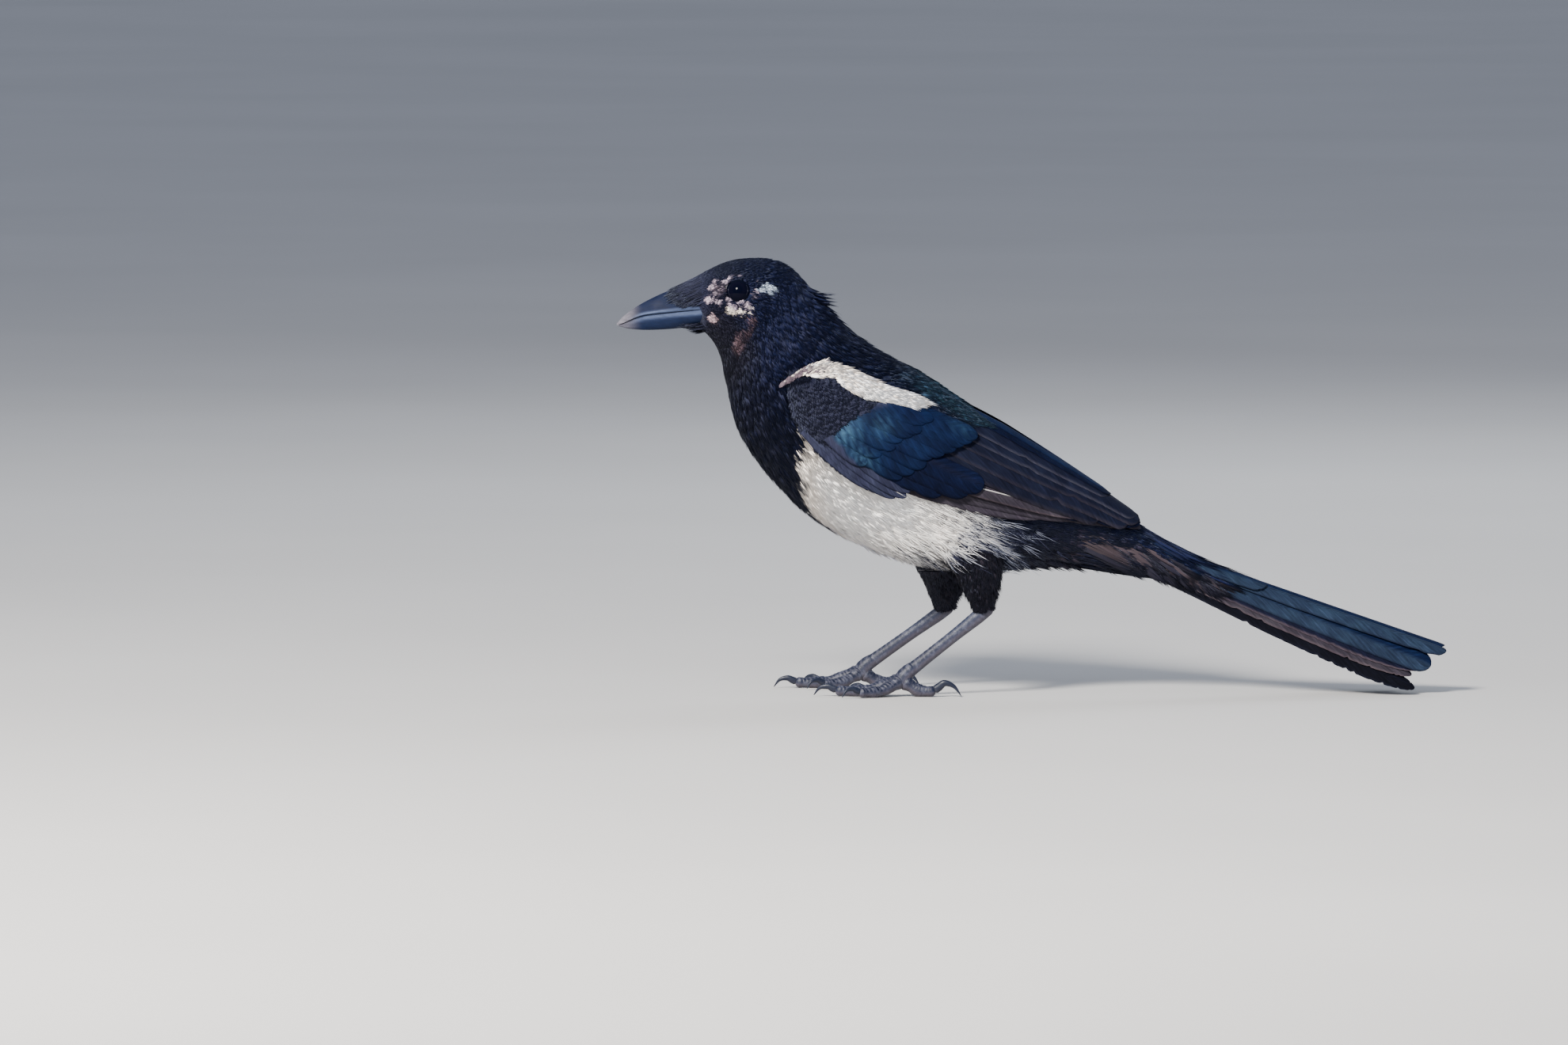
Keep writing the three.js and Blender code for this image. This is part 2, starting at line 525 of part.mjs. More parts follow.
function toeSolid(leg, toe) {
  const { length, pads, radius } = toe;
  const path = [[0, 7.2], [0.22, 5.2], [0.46, TOE_HEIGHT + 0.4], [0.75, TOE_HEIGHT], [1, TOE_HEIGHT + 0.2]];
  const steps = pads * 2 + 1;
  const radii = Array.from({ length: steps + 1 }, (_, i) => {
    const swell = i % 2 === 0 ? 0.28 : -0.18;
    return radius * mix(1.12, 0.86, i / steps) + swell;
  });
  return limb(path.map(([share, height]) => overToe(leg, toe, length * share, height)), radii, {
    columns: 8, rows: steps + 2, across: new THREE.Vector3(0, 0, 1).cross(toeWay(leg, toe)), flat: 1.06,
    tips: [1, 0],
  });
}

function clawSolid(leg, toe) {
  const { length, radius, rise } = toe.claw;
  const start = toe.length + GAP;
  const height = TOE_HEIGHT + 0.4;
  const path = [
    [0, height], [0.1, height + 0.1], [0.36, height + rise], [0.72, height + rise * 0.6], [1, CLAW_TIP * 1.6],
  ];
  return limb(path.map(([share, z]) => overToe(leg, toe, start + length * share, z)),
    [radius, radius * 0.98, radius * 0.78, CLAW_TIP], {
      columns: 6, rows: 7, across: new THREE.Vector3(0, 0, 1).cross(toeWay(leg, toe)), flat: 1.15,
      tips: [0, 0.3],
    });
}

// The ball of the foot, where the toes meet the tarsus.
function ball({ toeBase }) {
  const shape = new THREE.SphereGeometry(1, 10, 8);
  shape.scale(BALL.length, BALL.width, BALL.height);
  shape.translate(toeBase[0], toeBase[1], BALL.height - BALL.sunk);
  return solidOf(shape);
}

// Everything below the floor, to cut the soles flat with.
function ground() {
  const box = new THREE.BoxGeometry(400, 200, 40);
  box.translate(0, 0, -20);
  return solidOf(box);
}

const figure = new THREE.Group();

// Head, neck and torso: one body form, parted by thin cuts
const form = bodyForm();
const grownForm = bodyForm(SOCKET_GAP);
const pieces = form
  .subtract(slab(NECK_CUT, GAP))
  .subtract(slab(TORSO_CUT, GAP))
  .subtract(slab(TAIL_CUT, GAP))
  .decompose()
  .sort((a, b) => a.boundingBox().min[0] - b.boundingBox().min[0]);
const [headForm, neck, torso, tailCore] = pieces;

let head = headForm.add(lids(-1)).add(lids(1));
for (const side of [-1, 1]) head = head.subtract(eyeball(side, GAP));
head = head
  .subtract(billHalf(UPPER_BILL, 1, SOCKET_GAP))
  .subtract(billHalf(LOWER_BILL, -1, SOCKET_GAP))
  .subtract(gape());
figure.add(node("head", head, MATERIALS.blackPlumage));
figure.add(node("neck", neck, MATERIALS.blackPlumage));
figure.add(node("torso", torso, MATERIALS.blackPlumage));

const upperBill = billHalf(UPPER_BILL, 1).subtract(nostril(-1)).subtract(nostril(1));
figure.add(node("bill_upper", upperBill, MATERIALS.horn));
figure.add(node("bill_lower", billHalf(LOWER_BILL, -1), MATERIALS.horn));
figure.add(node("eye_left", eyeball(-1), MATERIALS.eye));
figure.add(node("eye_right", eyeball(1), MATERIALS.eye));

const leftWing = wing().subtract(grownForm);
figure.add(node("wing_left", leftWing, MATERIALS.wingGloss));
figure.add(node("wing_right", leftWing.mirror([0, 1, 0]), MATERIALS.wingGloss));

const tail = Manifold.union([tailCore, ...tailVanes(), ...tailCoverts()]).subtract(slab(TAIL_CUT, GAP));
figure.add(node("tail", tail, MATERIALS.tailGloss));

for (const [name, leg] of Object.entries(LEGS)) {
  const thighSolid = thigh(leg).subtract(grownForm).subtract(tarsus(leg, GAP));
  figure.add(node(`thigh_${name}`, thighSolid, MATERIALS.blackPlumage));
  figure.add(node(`tarsus_${name}`, tarsus(leg), MATERIALS.skin));
  let foot = ball(leg);
  for (const toe of Object.values(TOES)) foot = foot.add(toeSolid(leg, toe));
  for (const [toeName, toe] of Object.entries(TOES)) {
    figure.add(node(`claw_${name}_${toeName}`, clawSolid(leg, toe), MATERIALS.horn));
  }
  foot = foot.subtract(tarsus(leg, GAP)).subtract(ground());
  figure.add(node(`foot_${name}`, foot, MATERIALS.skin));
}

export default figure;
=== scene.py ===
"""Eurasian magpie, standing and life size: skin, coat, flight feathers, bill, eyes and legs over the frame."""
import json
import logging
import math
from dataclasses import dataclass, field
from enum import Enum
from typing import Callable, Optional, Sequence

import bmesh
import bpy
import numpy as np
from bpy.types import Collection, Material, Mesh, Node, NodeSocket, NodeTree, Object
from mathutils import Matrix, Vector

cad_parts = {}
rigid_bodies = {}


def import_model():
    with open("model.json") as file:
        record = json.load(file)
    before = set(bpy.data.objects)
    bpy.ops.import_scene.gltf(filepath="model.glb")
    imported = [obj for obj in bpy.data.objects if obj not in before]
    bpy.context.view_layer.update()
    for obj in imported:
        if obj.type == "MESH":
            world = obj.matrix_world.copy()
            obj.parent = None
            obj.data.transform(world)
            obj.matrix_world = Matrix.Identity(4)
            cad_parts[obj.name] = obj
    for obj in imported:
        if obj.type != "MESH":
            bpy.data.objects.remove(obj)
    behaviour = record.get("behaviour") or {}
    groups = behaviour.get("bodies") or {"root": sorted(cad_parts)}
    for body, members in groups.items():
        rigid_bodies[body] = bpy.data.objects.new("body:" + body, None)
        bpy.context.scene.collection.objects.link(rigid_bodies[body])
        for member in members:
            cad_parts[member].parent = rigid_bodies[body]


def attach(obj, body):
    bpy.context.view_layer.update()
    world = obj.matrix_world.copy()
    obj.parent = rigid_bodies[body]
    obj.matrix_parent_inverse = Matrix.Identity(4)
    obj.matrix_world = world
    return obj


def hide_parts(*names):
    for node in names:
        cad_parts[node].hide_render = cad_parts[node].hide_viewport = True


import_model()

LOG = logging.getLogger("magpie")
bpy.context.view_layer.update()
BODY = "root"
MM = 0.001  # every size below is in millimetres and degrees; meshes are in metres
TIP_SHARE = 0.75  # how far along a tuft its colour is read from the markings
PATCH = 0.003  # side of a tuft's patch on the baking map
RELIEF = 0.0003  # depth of the finishes' relief, in metres
KINDS = 60  # kinds are drawn below this, which the number of tufts in every set divides
SIDES = {"left": 1.0, "right": -1}
ACROSS, UP = np.eye(3)[1:]

Array = np.ndarray
Random = np.random.Generator
Surface = Callable[[Array, Array, Array], Array]

# Ribs of the body from the face to the tail base: top x, top z, bottom x, bottom z, half width
RIBS = (
    (-152.1, 181.8, -152.1, 162.8, 5.6),
    (-146.5, 185.2, -146.5, 161.2, 8.6),
    (-139.8, 188.8, -143.3, 158.4, 12.8),
    (-132.1, 191.6, -140.5, 155.2, 15.4),
    (-123.4, 192.6, -138.1, 150.6, 17),
    (-113.6, 191.9, -136.7, 145.4, 18),
    (-105, 188.4, -135.6, 138.4, 19.2),
    (-99.2, 182.6, -134.6, 132, 21.4),
    (-93.4, 175.2, -133.2, 124.4, 24.8),
    (-85.6, 167.4, -130.2, 115.4, 29),
    (-76.4, 158, -123.4, 104, 31.8),
    (-63.6, 150.4, -112.8, 91, 33.6),
    (-48.2, 141.6, -98.8, 77.4, 34.2),
    (-31, 129.6, -81.4, 67.2, 33.4),
    (-13.4, 118, -62, 59.2, 31.2),
    (2.5, 107.2, -41, 55.4, 28),
    (16.6, 97.6, -21.8, 54.2, 24),
    (28.8, 89.2, -1, 55.4, 21),
    (39.4, 81.4, 20, 55.4, 16.4),
    (50, 74, 42, 53.6, 12.6),
    (61.8, 65.4, 57.6, 50.8, 9.6),
    (76, 58, 72, 45.2, 9.4),
)


class Tone(Enum):
    """Plumage and skin colours, linear, with the share of metallic gloss last."""

    BLACK = (0.003, 0.0036, 0.0115, 0)
    BLUE_BLACK = (0.0029, 0.0046, 0.02, 0.06)
    BROWN_BLACK = (0.0075, 0.0068, 0.012, 0)
    GREY_BLACK = (0.017, 0.0185, 0.038, 0)
    INK = (0.0036, 0.0044, 0.012, 0)
    DUSKY = (0.033, 0.031, 0.044, 0)
    WHITE = (0.96, 0.93, 0.89, 0)
    CREAM = (0.94, 0.83, 0.71, 0)
    # Bluish grey laid on the white: painted shade under the belly, and the real grey of the white's rear edge.
    GREY_WHITE = (0.3, 0.325, 0.42, 0)
    TEAL = (0.026, 0.06, 0.105, 0.25)
    STEEL = (0.011, 0.0185, 0.037, 0.15)
    BLUE = (0.0026, 0.007, 0.027, 0.2)
    NAVY = (0.0013, 0.0027, 0.013, 0.1)
    GREEN = (0.011, 0.03, 0.044, 0.25)
    PITCH = (0.0014, 0.0015, 0.0036, 0)
    BROWN = (0.023, 0.019, 0.027, 0)
    TAUPE = (0.085, 0.062, 0.074, 0)
    SHAFT = (0.7, 0.66, 0.66, 0)
    BARE = (0.45, 0.36, 0.43, 0)
    SILVER = (0.43, 0.51, 0.62, 0)
    FLESH = (0.07, 0.042, 0.048, 0)
    GAPE = (0.47, 0.33, 0.35, 0)

    @property
    def rgba(self) -> Array:
        """The colour as an array of four numbers."""
        return np.array(self.value)


def smooth(low: float, high: float, value: Array) -> Array:
    """A soft step from 0 at low to 1 at high."""
    t = np.clip((np.asarray(value, float) - low) / (high - low), 0, 1)
    return t * t * (3 - 2 * t)


def catmull(points: Array, at: Array) -> Array:
    """Points of a smooth curve through control points.

    Args:
        points: Control points, one a row.
        at: Places to read, in control points from 0.

    Returns:
        One point for each place.
    """
    points = np.asarray(points, float)
    if points.ndim == 1:
        points = points[:, None]
    padded = np.vstack([2 * points[0] - points[1], points, 2 * points[-1] - points[-2]])
    at = np.clip(np.asarray(at, float), 0, len(points) - 1)
    i = np.minimum(np.floor(at).astype(int), len(points) - 2)
    f = (at - i)[..., None]
    before, here, there, after = (padded[i + k] for k in range(4))
    start, end = 0.5 * (there - before), 0.5 * (after - here)
    return ((2 * here - 2 * there + start + end) * f**3
            + (-3 * here + 3 * there - 2 * start - end) * f**2 + start * f + here)


def steps(values: Sequence[tuple[float, float]], at: Array) -> Array:
    """Reads a list of (place, value) pairs with straight lines between them."""
    places, numbers = zip(*values)
    return np.interp(at, places, numbers)


def unit(vectors: Array) -> Array:
    """The vectors at length one."""
    return vectors / np.maximum(np.linalg.norm(vectors, axis=-1, keepdims=True), 1e-9)


def signed_power(value: Array, power: float) -> Array:
    """A power that keeps the sign."""
    return np.sign(value) * np.abs(value) ** power


def ripple(at: Array, seed: float) -> Array:
    """A smooth wandering number between about -1 and 1 along a line."""
    return (np.sin(at * 1.7 + seed) + np.sin(at * 3.1 + seed * 2.3) + np.sin(at * 7.3 + seed * 4.1)) / 3.0


def curve(points: Array, share: Array) -> Array:
    """Points of a smooth curve at shares of the way from its first control point to its last."""
    return catmull(points, share * (len(points) - 1))


def eased(count: int) -> Array:
    """Shares from 0 to 1 that lie closer together at both ends."""
    return (1 - np.cos(np.linspace(0, np.pi, count))) / 2


def toward(first: Array, second: Array, share: Array) -> Array:
    """The first value moved towards the second by a share."""
    return first + (second - first) * share


def floats(*values: Array) -> Sequence[Array]:
    """Values as arrays of one shape."""
    return np.broadcast_arrays(*(np.asarray(value, float) for value in values))


def norm(vectors: Array) -> Array:
    """How long each vector is."""
    return np.linalg.norm(vectors, axis=-1)


def dot(first: Array, second: Array) -> Array:
    """The products of vectors."""
    return np.sum(first * second, -1)


def square_to(way: Array, ahead: Array) -> Array:
    """The part of a way at right angles to the way ahead, at length one."""
    return unit(way - ahead * dot(way, ahead)[..., None])


def beside(*values: Array) -> Array:
    """Values side by side, a row for each place."""
    return np.stack(np.broadcast_arrays(*values), -1)


def net(rows: Array, columns: Array) -> Sequence[Array]:
    """Two values over a net, the first along its rows and the second along its columns."""
    return np.meshgrid(rows, columns, indexing="ij")


def scatter(count: int, first: float = 0.0, second: float = 0.0) -> tuple[Array, Array]:
    """Pairs of numbers from 0 to 1 that fill a square evenly, moved on by two shifts."""
    k = np.arange(1, count + 1)
    return (k * 0.7548776662 + first) % 1.0, (k * 0.569840291 + second) % 1.0


@dataclass
class Sheet:
    """Vertices, faces and per-vertex values of a mesh that is still being put together."""

    points: list = field(default_factory=list)
    faces: list = field(default_factory=list)
    colours: list = field(default_factory=list)
    maps: dict = field(default_factory=dict)
    count: int = 0

    def add(self, points: Array, faces: Sequence, colours: Array, **maps: Array) -> "Sheet":
        """Adds a block of vertices with its faces.

        Args:
            points: Vertices in millimetres.
            faces: Vertex numbers within the block.
            colours: A colour for each vertex, or one for all.
            maps: Named 2-D maps, a pair for each vertex.

        Returns:
            The sheet.
        """
        self.points.append(points)
        self.faces.extend([[v + self.count for v in face] for face in faces])
        self.colours.append(np.broadcast_to(colours, (len(points), 4)))
        for name, values in maps.items():
            self.maps.setdefault(name, []).append(values)
        self.count += len(points)
        return self

    def add_rings(self, rings: Array, colours: Array, **maps: Array) -> "Sheet":
        """Adds rings as a closed limb with a pole at each end.

        Args:
            rings: Rows by columns by three, the last column lying on the first.
            colours: A colour for each vertex, or one for all.
            maps: Named 2-D maps, a pair for each vertex.

        Returns:
            The sheet.
        """
        rows, columns = rings.shape[:2]

        def flat(values: Array, width: int) -> Array:
            """The values as rows, with the two poles' at the end."""
            spread = np.broadcast_to(values, (rows, columns, width))
            return np.vstack([spread.reshape(-1, width), spread[0, :-1].mean(0), spread[-1, :-1].mean(0)])

        turn = np.arange(columns - 1)
        base, pole = (rows - 1) * columns, rows * columns
        ends = np.vstack([beside(turn + 1, turn, pole), beside(base + turn, base + turn + 1, pole + 1)])
        faces = grid(rows, columns).tolist() + ends.tolist()
        flat_maps = {name: flat(values, 2) for name, values in maps.items()}
        return self.add(flat(rings, 3), faces, flat(colours, 4), **flat_maps)

    def make(self, name: str, material: Material) -> Object:
        """Turns what was added into a smooth mesh object, its seams merged and its faces outwards.

        Args:
            name: The object's name.
            material: Its material.

        Returns:
            The new object, linked to the scene.
        """
        mesh = bpy.data.meshes.new(name)
        mesh.from_pydata((np.vstack(self.points) * MM).tolist(), [], self.faces)
        corners = np.zeros(len(mesh.loops), np.int32)
        mesh.loops.foreach_get("vertex_index", corners)
        for map_name, blocks in self.maps.items():
            layer = mesh.uv_layers.new(name=map_name)
            layer.uv.foreach_set("vector", np.vstack(blocks)[corners].astype(np.float32).ravel())
        tint = mesh.attributes.new("plumage", "FLOAT_COLOR", "POINT")
        tint.data.foreach_set("color", np.vstack(self.colours).astype(np.float32).ravel())
        face_out(mesh)
        mesh.shade_smooth()
        mesh.materials.append(material)
        return link(name, mesh)


def grid(rows: int, columns: int, start: int = 0) -> Array:
    """Faces of a sheet of rows by columns vertices, numbered from start."""
    r = np.arange(rows - 1)[:, None]
    c = np.arange(columns - 1)[None, :]
    here = r * columns + c + start
    return beside(here, here + 1, here + columns + 1, here + columns).reshape(-1, 4)


def face_out(mesh: Mesh) -> None:
    """Merges the vertices that lie on each other and turns every face of a closed mesh outwards."""
    shape = bmesh.new()
    shape.from_mesh(mesh)
    bmesh.ops.remove_doubles(shape, verts=shape.verts, dist=1e-7)
    bmesh.ops.recalc_face_normals(shape, faces=shape.faces)
    shape.to_mesh(mesh)
    shape.free()


def link(name: str, mesh: Mesh) -> Object:
    """A new object for a mesh, linked to the scene."""
    mesh.name = name
    made = bpy.data.objects.new(name, mesh)
    bpy.context.scene.collection.objects.link(made)
    return made


def flatten(thing: Object) -> Mesh:
    """The plain mesh that an object's modifiers give."""
    graph = bpy.context.evaluated_depsgraph_get()
    mesh = bpy.data.meshes.new_from_object(thing.evaluated_get(graph), preserve_all_data_layers=True,
                                           depsgraph=graph)
    thing.modifiers.clear()
    return mesh


def unite(body: Object, parts: Sequence[Object]) -> Object:
    """Joins closed parts to a body as one closed skin, and removes the parts."""
    for part in parts:
        modifier = body.modifiers.new("union", "BOOLEAN")
        modifier.operation, modifier.solver, modifier.object = "UNION", "EXACT", part
    body.data = flatten(body)
    for part in parts:
        bpy.data.objects.remove(part)
    return body


def settle(piece: Object, slot: str, *nodes: str) -> Object:
    """Rides a finished piece on the body, hides the parts that it stands for, and logs it."""
    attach(piece, BODY)
    if nodes:
        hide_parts(*nodes)
    mesh = piece.data
    LOG.info("%s: %d triangles", piece.name, len(mesh.loops) - 2 * len(mesh.polygons))
    return piece


@dataclass
class BodyForm:
    """The bird's body as a surface over stations along the ribs and angles from the back."""

    squareness: float = 2.15
    end_cap: float = 0.3
    end_step: float = 7.0

    def __post_init__(self) -> None:
        ribs = np.array(RIBS)
        self.top = ribs[:, [0, 4, 1]]
        self.bottom = ribs[:, [2, 4, 3]]
        self.last = float(len(ribs) - 1)

    def point(self, station: Array, angle: Array, lift: Array = 0.0) -> Array:
        """Points on the body.

        Args:
            station: Ribs from the face, 0 to the last rib.
            angle: Degrees from the back, 90 on the left side and -90 on the right.
            lift: Distance out from the body.

        Returns:
            One point for each place.
        """
        station, angle, lift = floats(station, angle, lift)
        within = np.clip(station, 0, self.last)
        top, bottom = catmull(self.top, within), catmull(self.bottom, within)
        beyond = station - within
        shrink = np.sqrt(np.maximum(0, 1 - (beyond / self.end_cap) ** 2))[..., None]
        centre = (top + bottom) / 2
        up = top - centre
        half = centre[..., 1].copy()
        centre[..., 1] = 0.0
        up[..., 1] = 0.0
        height = norm(up)
        up = unit(up)
        ahead = beside(up[..., 2], 0, -up[..., 0])
        turn = np.radians(angle)
        c = signed_power(np.cos(turn), 2 / self.squareness)
        s = signed_power(np.sin(turn), 2 / self.squareness)
        place = centre + up * ((height + lift) * c)[..., None] * shrink
        place[..., 1] = -(half + lift) * s * shrink[..., 0]
        return place + ahead * (beyond * self.end_step + np.sign(beyond) * lift)[..., None]

    def frame_at(self, station: Array, angle: Array) -> tuple[Array, Array, Array]:
        """The ways along and round the body, in millimetres a station and a degree, and straight out."""
        step = 0.04
        here = self.point(station, angle)
        along = (self.point(station + step, angle) - here) / step
        around = (self.point(station, angle + step) - here) / step
        out = unit(np.cross(around, along))
        centre = (self.point(station, 0 * angle) + self.point(station, 180 + 0 * angle)) / 2
        flip = np.sign(np.sum(out * (here - centre), -1, keepdims=True))
        return along, around, out * np.where(flip == 0, 1, flip)

    def unwrap(self, station: Array, angle: Array) -> Array:
        """Places on the baking map for angles from 0 to 360: the body fills all but the lowest tenth."""
        u = 0.02 + 0.96 * (np.asarray(station) + self.end_cap) / (self.last + 2 * self.end_cap)
        return beside(u, 0.13 + 0.85 * np.asarray(angle) / 360)


FORM = BodyForm()


@dataclass(frozen=True)
class Mark:
    """A soft spot on the plumage, by its middle and its reach along and round the body."""

    station: float
    angle: float
    reach: float
    spread: float
    strength: float = 1.0

    def weight(self, station: Array, side: Array) -> Array:
        """How strongly the spot marks each place."""
        return self.strength * np.exp(-((station - self.station) / self.reach) ** 2
                                      - ((side - self.angle) / self.spread) ** 2)

    @staticmethod
    def strongest(marks: Sequence[tuple], station: Array, side: Array) -> Array:
        """How strongly the strongest of some spots, given by their values, marks each place."""
        return np.maximum.reduce([Mark(*values).weight(station, side) for values in marks])


@dataclass(frozen=True)
class Markings:
    """Where the plumage is black, white, glossy or bare, by station and angle on the body."""

    white_front: tuple = ((90, 9.95), (100, 10.2), (108, 10.62), (114, 10.95), (128, 11.1), (136, 11.5),
                          (153, 11.7), (165, 12.2), (180, 13.1))
    white_rear: tuple = ((90, 15.2), (100, 15.4), (121, 15.7), (142, 15.2), (160, 15.1), (180, 15.3))
    wing_top: tuple = ((9.3, 80), (9.68, 62), (10.1, 53), (10.55, 48), (12.8, 48), (13.2, 42), (13.74, 34),
                       (14.06, 25), (14.96, 25), (16.14, 20), (17.48, 12), (18.85, 9), (19.4, 9))
    wing_low: tuple = ((9.3, 88), (9.64, 93), (9.92, 98), (10.48, 103), (11.04, 107), (12.61, 108), (13.2, 101),
                       (13.82, 95), (14.47, 90), (15.2, 87), (15.97, 83), (16.76, 78), (17.58, 70),
                       (18.46, 56), (19.2, 35), (19.4, 20))
    eye: tuple = (3.8, 72)
    face: tuple = (
        (Tone.TAUPE, ((2.4, 72, 0.85, 15, 0.6), (4.2, 92, 0.8, 7, 0.58))),
        (Tone.BARE, ((2.02, 55, 0.19, 6.4, 0.8), (1.83, 66, 0.34, 5.7, 0.85), (2.79, 61, 0.24, 6.1),
                     (3.02, 55, 0.25, 3.3, 0.75), (3.45, 51, 0.28, 2.2, 0.5), (2.55, 72, 0.15, 5.5, 0.6),
                     (2.19, 79, 0.5, 3.2, 0.75), (1.7, 87, 0.48, 6), (2.56, 91, 0.4, 3.4, 0.85),
                     (3.2, 85, 0.29, 3.8, 0.8), (4.12, 84, 0.3, 3.4, 0.95), (3.64, 91, 0.47, 3.8, 0.9),
                     (4.72, 85, 0.3, 3.9), (4.84, 67, 0.25, 3.1, 0.75), (4.69, 72, 0.13, 3.8, 0.45),
                     (4.68, 56, 0.1, 1.7, 0.75))),
        (Tone.CREAM, ((3.68, 96, 0.5, 3.9, 1.1), (4.47, 92, 0.31, 2.6), (4.83, 86, 0.19, 2.6, 0.7))),
        (Tone.SILVER, ((5, 64, 0.22, 3, 1.2), (5.31, 58, 0.28, 4.1, 1.4), (5.56, 54, 0.17, 2.2, 1.1))),
        (Tone.GAPE, ((2.25, 117, 0.5, 7.5, 1.3),)),
        (Tone.FLESH, ((5.32, 92, 0.32, 5, 0.8), (5.45, 101, 0.4, 8, 0.8), (5.3, 118, 0.6, 11, 1.1))),
    )

    def white(self, station: Array, side: Array) -> Array:
        """How white the belly is: 1 inside, 0 outside."""
        front = steps(self.white_front, side)
        rear = steps(self.white_rear, side)
        inside = smooth(-0.08, 0.08, station - front) * (1 - smooth(-0.75, 0.4, station - rear))
        return inside * (side > 84)

    def under_wing(self, station: Array, side: Array, margin: float) -> Array:
        """Whether a place lies under the folded wing, at least margin degrees from its edges."""
        inside = (side > steps(self.wing_top, station) + margin) & (station > 9.5)
        return inside & (side < steps(self.wing_low, station) - margin) & (station < 19)

    def spots(self, marks: Sequence[tuple], station: Array, side: Array) -> Array:
        """How much of the face is taken by some marks, broken up into flecks."""
        mottle = np.sin(station * 21 + 1.2 * np.sin(side * 0.35)) * np.sin(side * 0.9 + station * 2.1)
        bent = station + 0.09 * np.sin(side * 1.1 + station * 9)
        turned = side + 1.5 * np.sin(station * 16 + side * 0.8)
        weight = Mark.strongest(marks, bent, turned)
        return smooth(0.22, 0.76, weight * (0.65 + 0.5 * (0.5 + 0.5 * mottle)))

    def bare(self, station: Array, side: Array) -> Array:
        """How far the feathers are still growing in round the eye, behind it and at the throat."""
        return np.maximum.reduce([self.spots(marks, station, side) for _, marks in self.face])

    def colour(self, station: Array, angle: Array, rng: Random) -> Array:
        """The plumage colour of a place, with painted shade along the underside of the white belly.

        Args:
            station: Ribs from the face.
            angle: Degrees from the back, either side.
            rng: Draws the small differences between one feather and the next.

        Returns:
            One colour for each place.
        """
        station = np.asarray(station, float)
        side = np.abs((np.asarray(angle, float) + 180) % 360 - 180)
        draw = rng.random(station.shape)
        tint = np.broadcast_to(Tone.BLACK.rgba, station.shape + (4,)).copy()

        def lay(tone: Tone, share: Array) -> None:
            """Mixes a tone in by its share at each place."""
            tint[:] = toward(tint, tone.rgba, np.clip(share, 0, 1)[..., None])

        lay(Tone.BLUE_BLACK, 0.9 * smooth(2, 5, station) * (1 - smooth(90, 130, side)))
        lay(Tone.BROWN_BLACK, 0.7 * smooth(85, 115, side) * (1 - smooth(6, 8, station)))
        lay(Tone.GREY_BLACK, 0.8 * (1 - smooth(0.6, 2.4, station)))
        lay(Tone.NAVY, 0.6 * (draw > 0.5) * smooth(8, 10.5, station) * (1 - smooth(14, 15, station)))
        slate = 0.45 * (draw < 0.25) * smooth(6, 8, station) * (1 - smooth(15, 16, station))
        lay(Tone.GREY_BLACK, slate)
        gloss = smooth(12, 12.8, station) * (1 - smooth(14.3, 15.4, station)) * (1 - smooth(26, 42, side))
        lay(Tone.GREEN, gloss * (0.55 + 0.45 * draw))
        lay(Tone.TEAL, 0.45 * gloss * (draw > 0.6))
        lay(Tone.BROWN_BLACK, 0.5 * smooth(15, 16.6, station) * smooth(70, 95, side))
        lay(Tone.TAUPE, 0.22 * (draw > 0.8) * smooth(16.6, 18, station) * smooth(70, 90, side))
        lay(Tone.NAVY, 0.8 * smooth(17.5, 19, station) * (1 - smooth(40, 70, side)))
        behind = station - steps(self.white_front, side)
        ahead = station - steps(self.white_rear, side)
        white = self.white(station + (draw - 0.5) * (0.22 + 0.7 * smooth(-1.5, -0.5, ahead)), side)
        lay(Tone.WHITE, white)
        lay(Tone.CREAM, 0.8 * white * (1 - smooth(0, 0.9, behind)))
        lay(Tone.CREAM, 0.35 * white * smooth(-2.2, -0.9, ahead))
        # Painted shade: bluish grey streaks along the underside of the white belly; the grey at the white's
        # rear edge, where it runs into the dark flank, is real.
        underside_shade_and_rear_grey = white * np.maximum(smooth(154, 176, side), 0.9 * smooth(-0.8, 0.2, ahead))
        lay(Tone.GREY_WHITE, underside_shade_and_rear_grey * (0.2 + 0.7 * (draw > 0.5)))
        for tone, marks in self.face:
            lay(tone, self.spots(marks, station, side) * (0.5 + 0.5 * draw))
        return tint


MARKINGS = Markings()


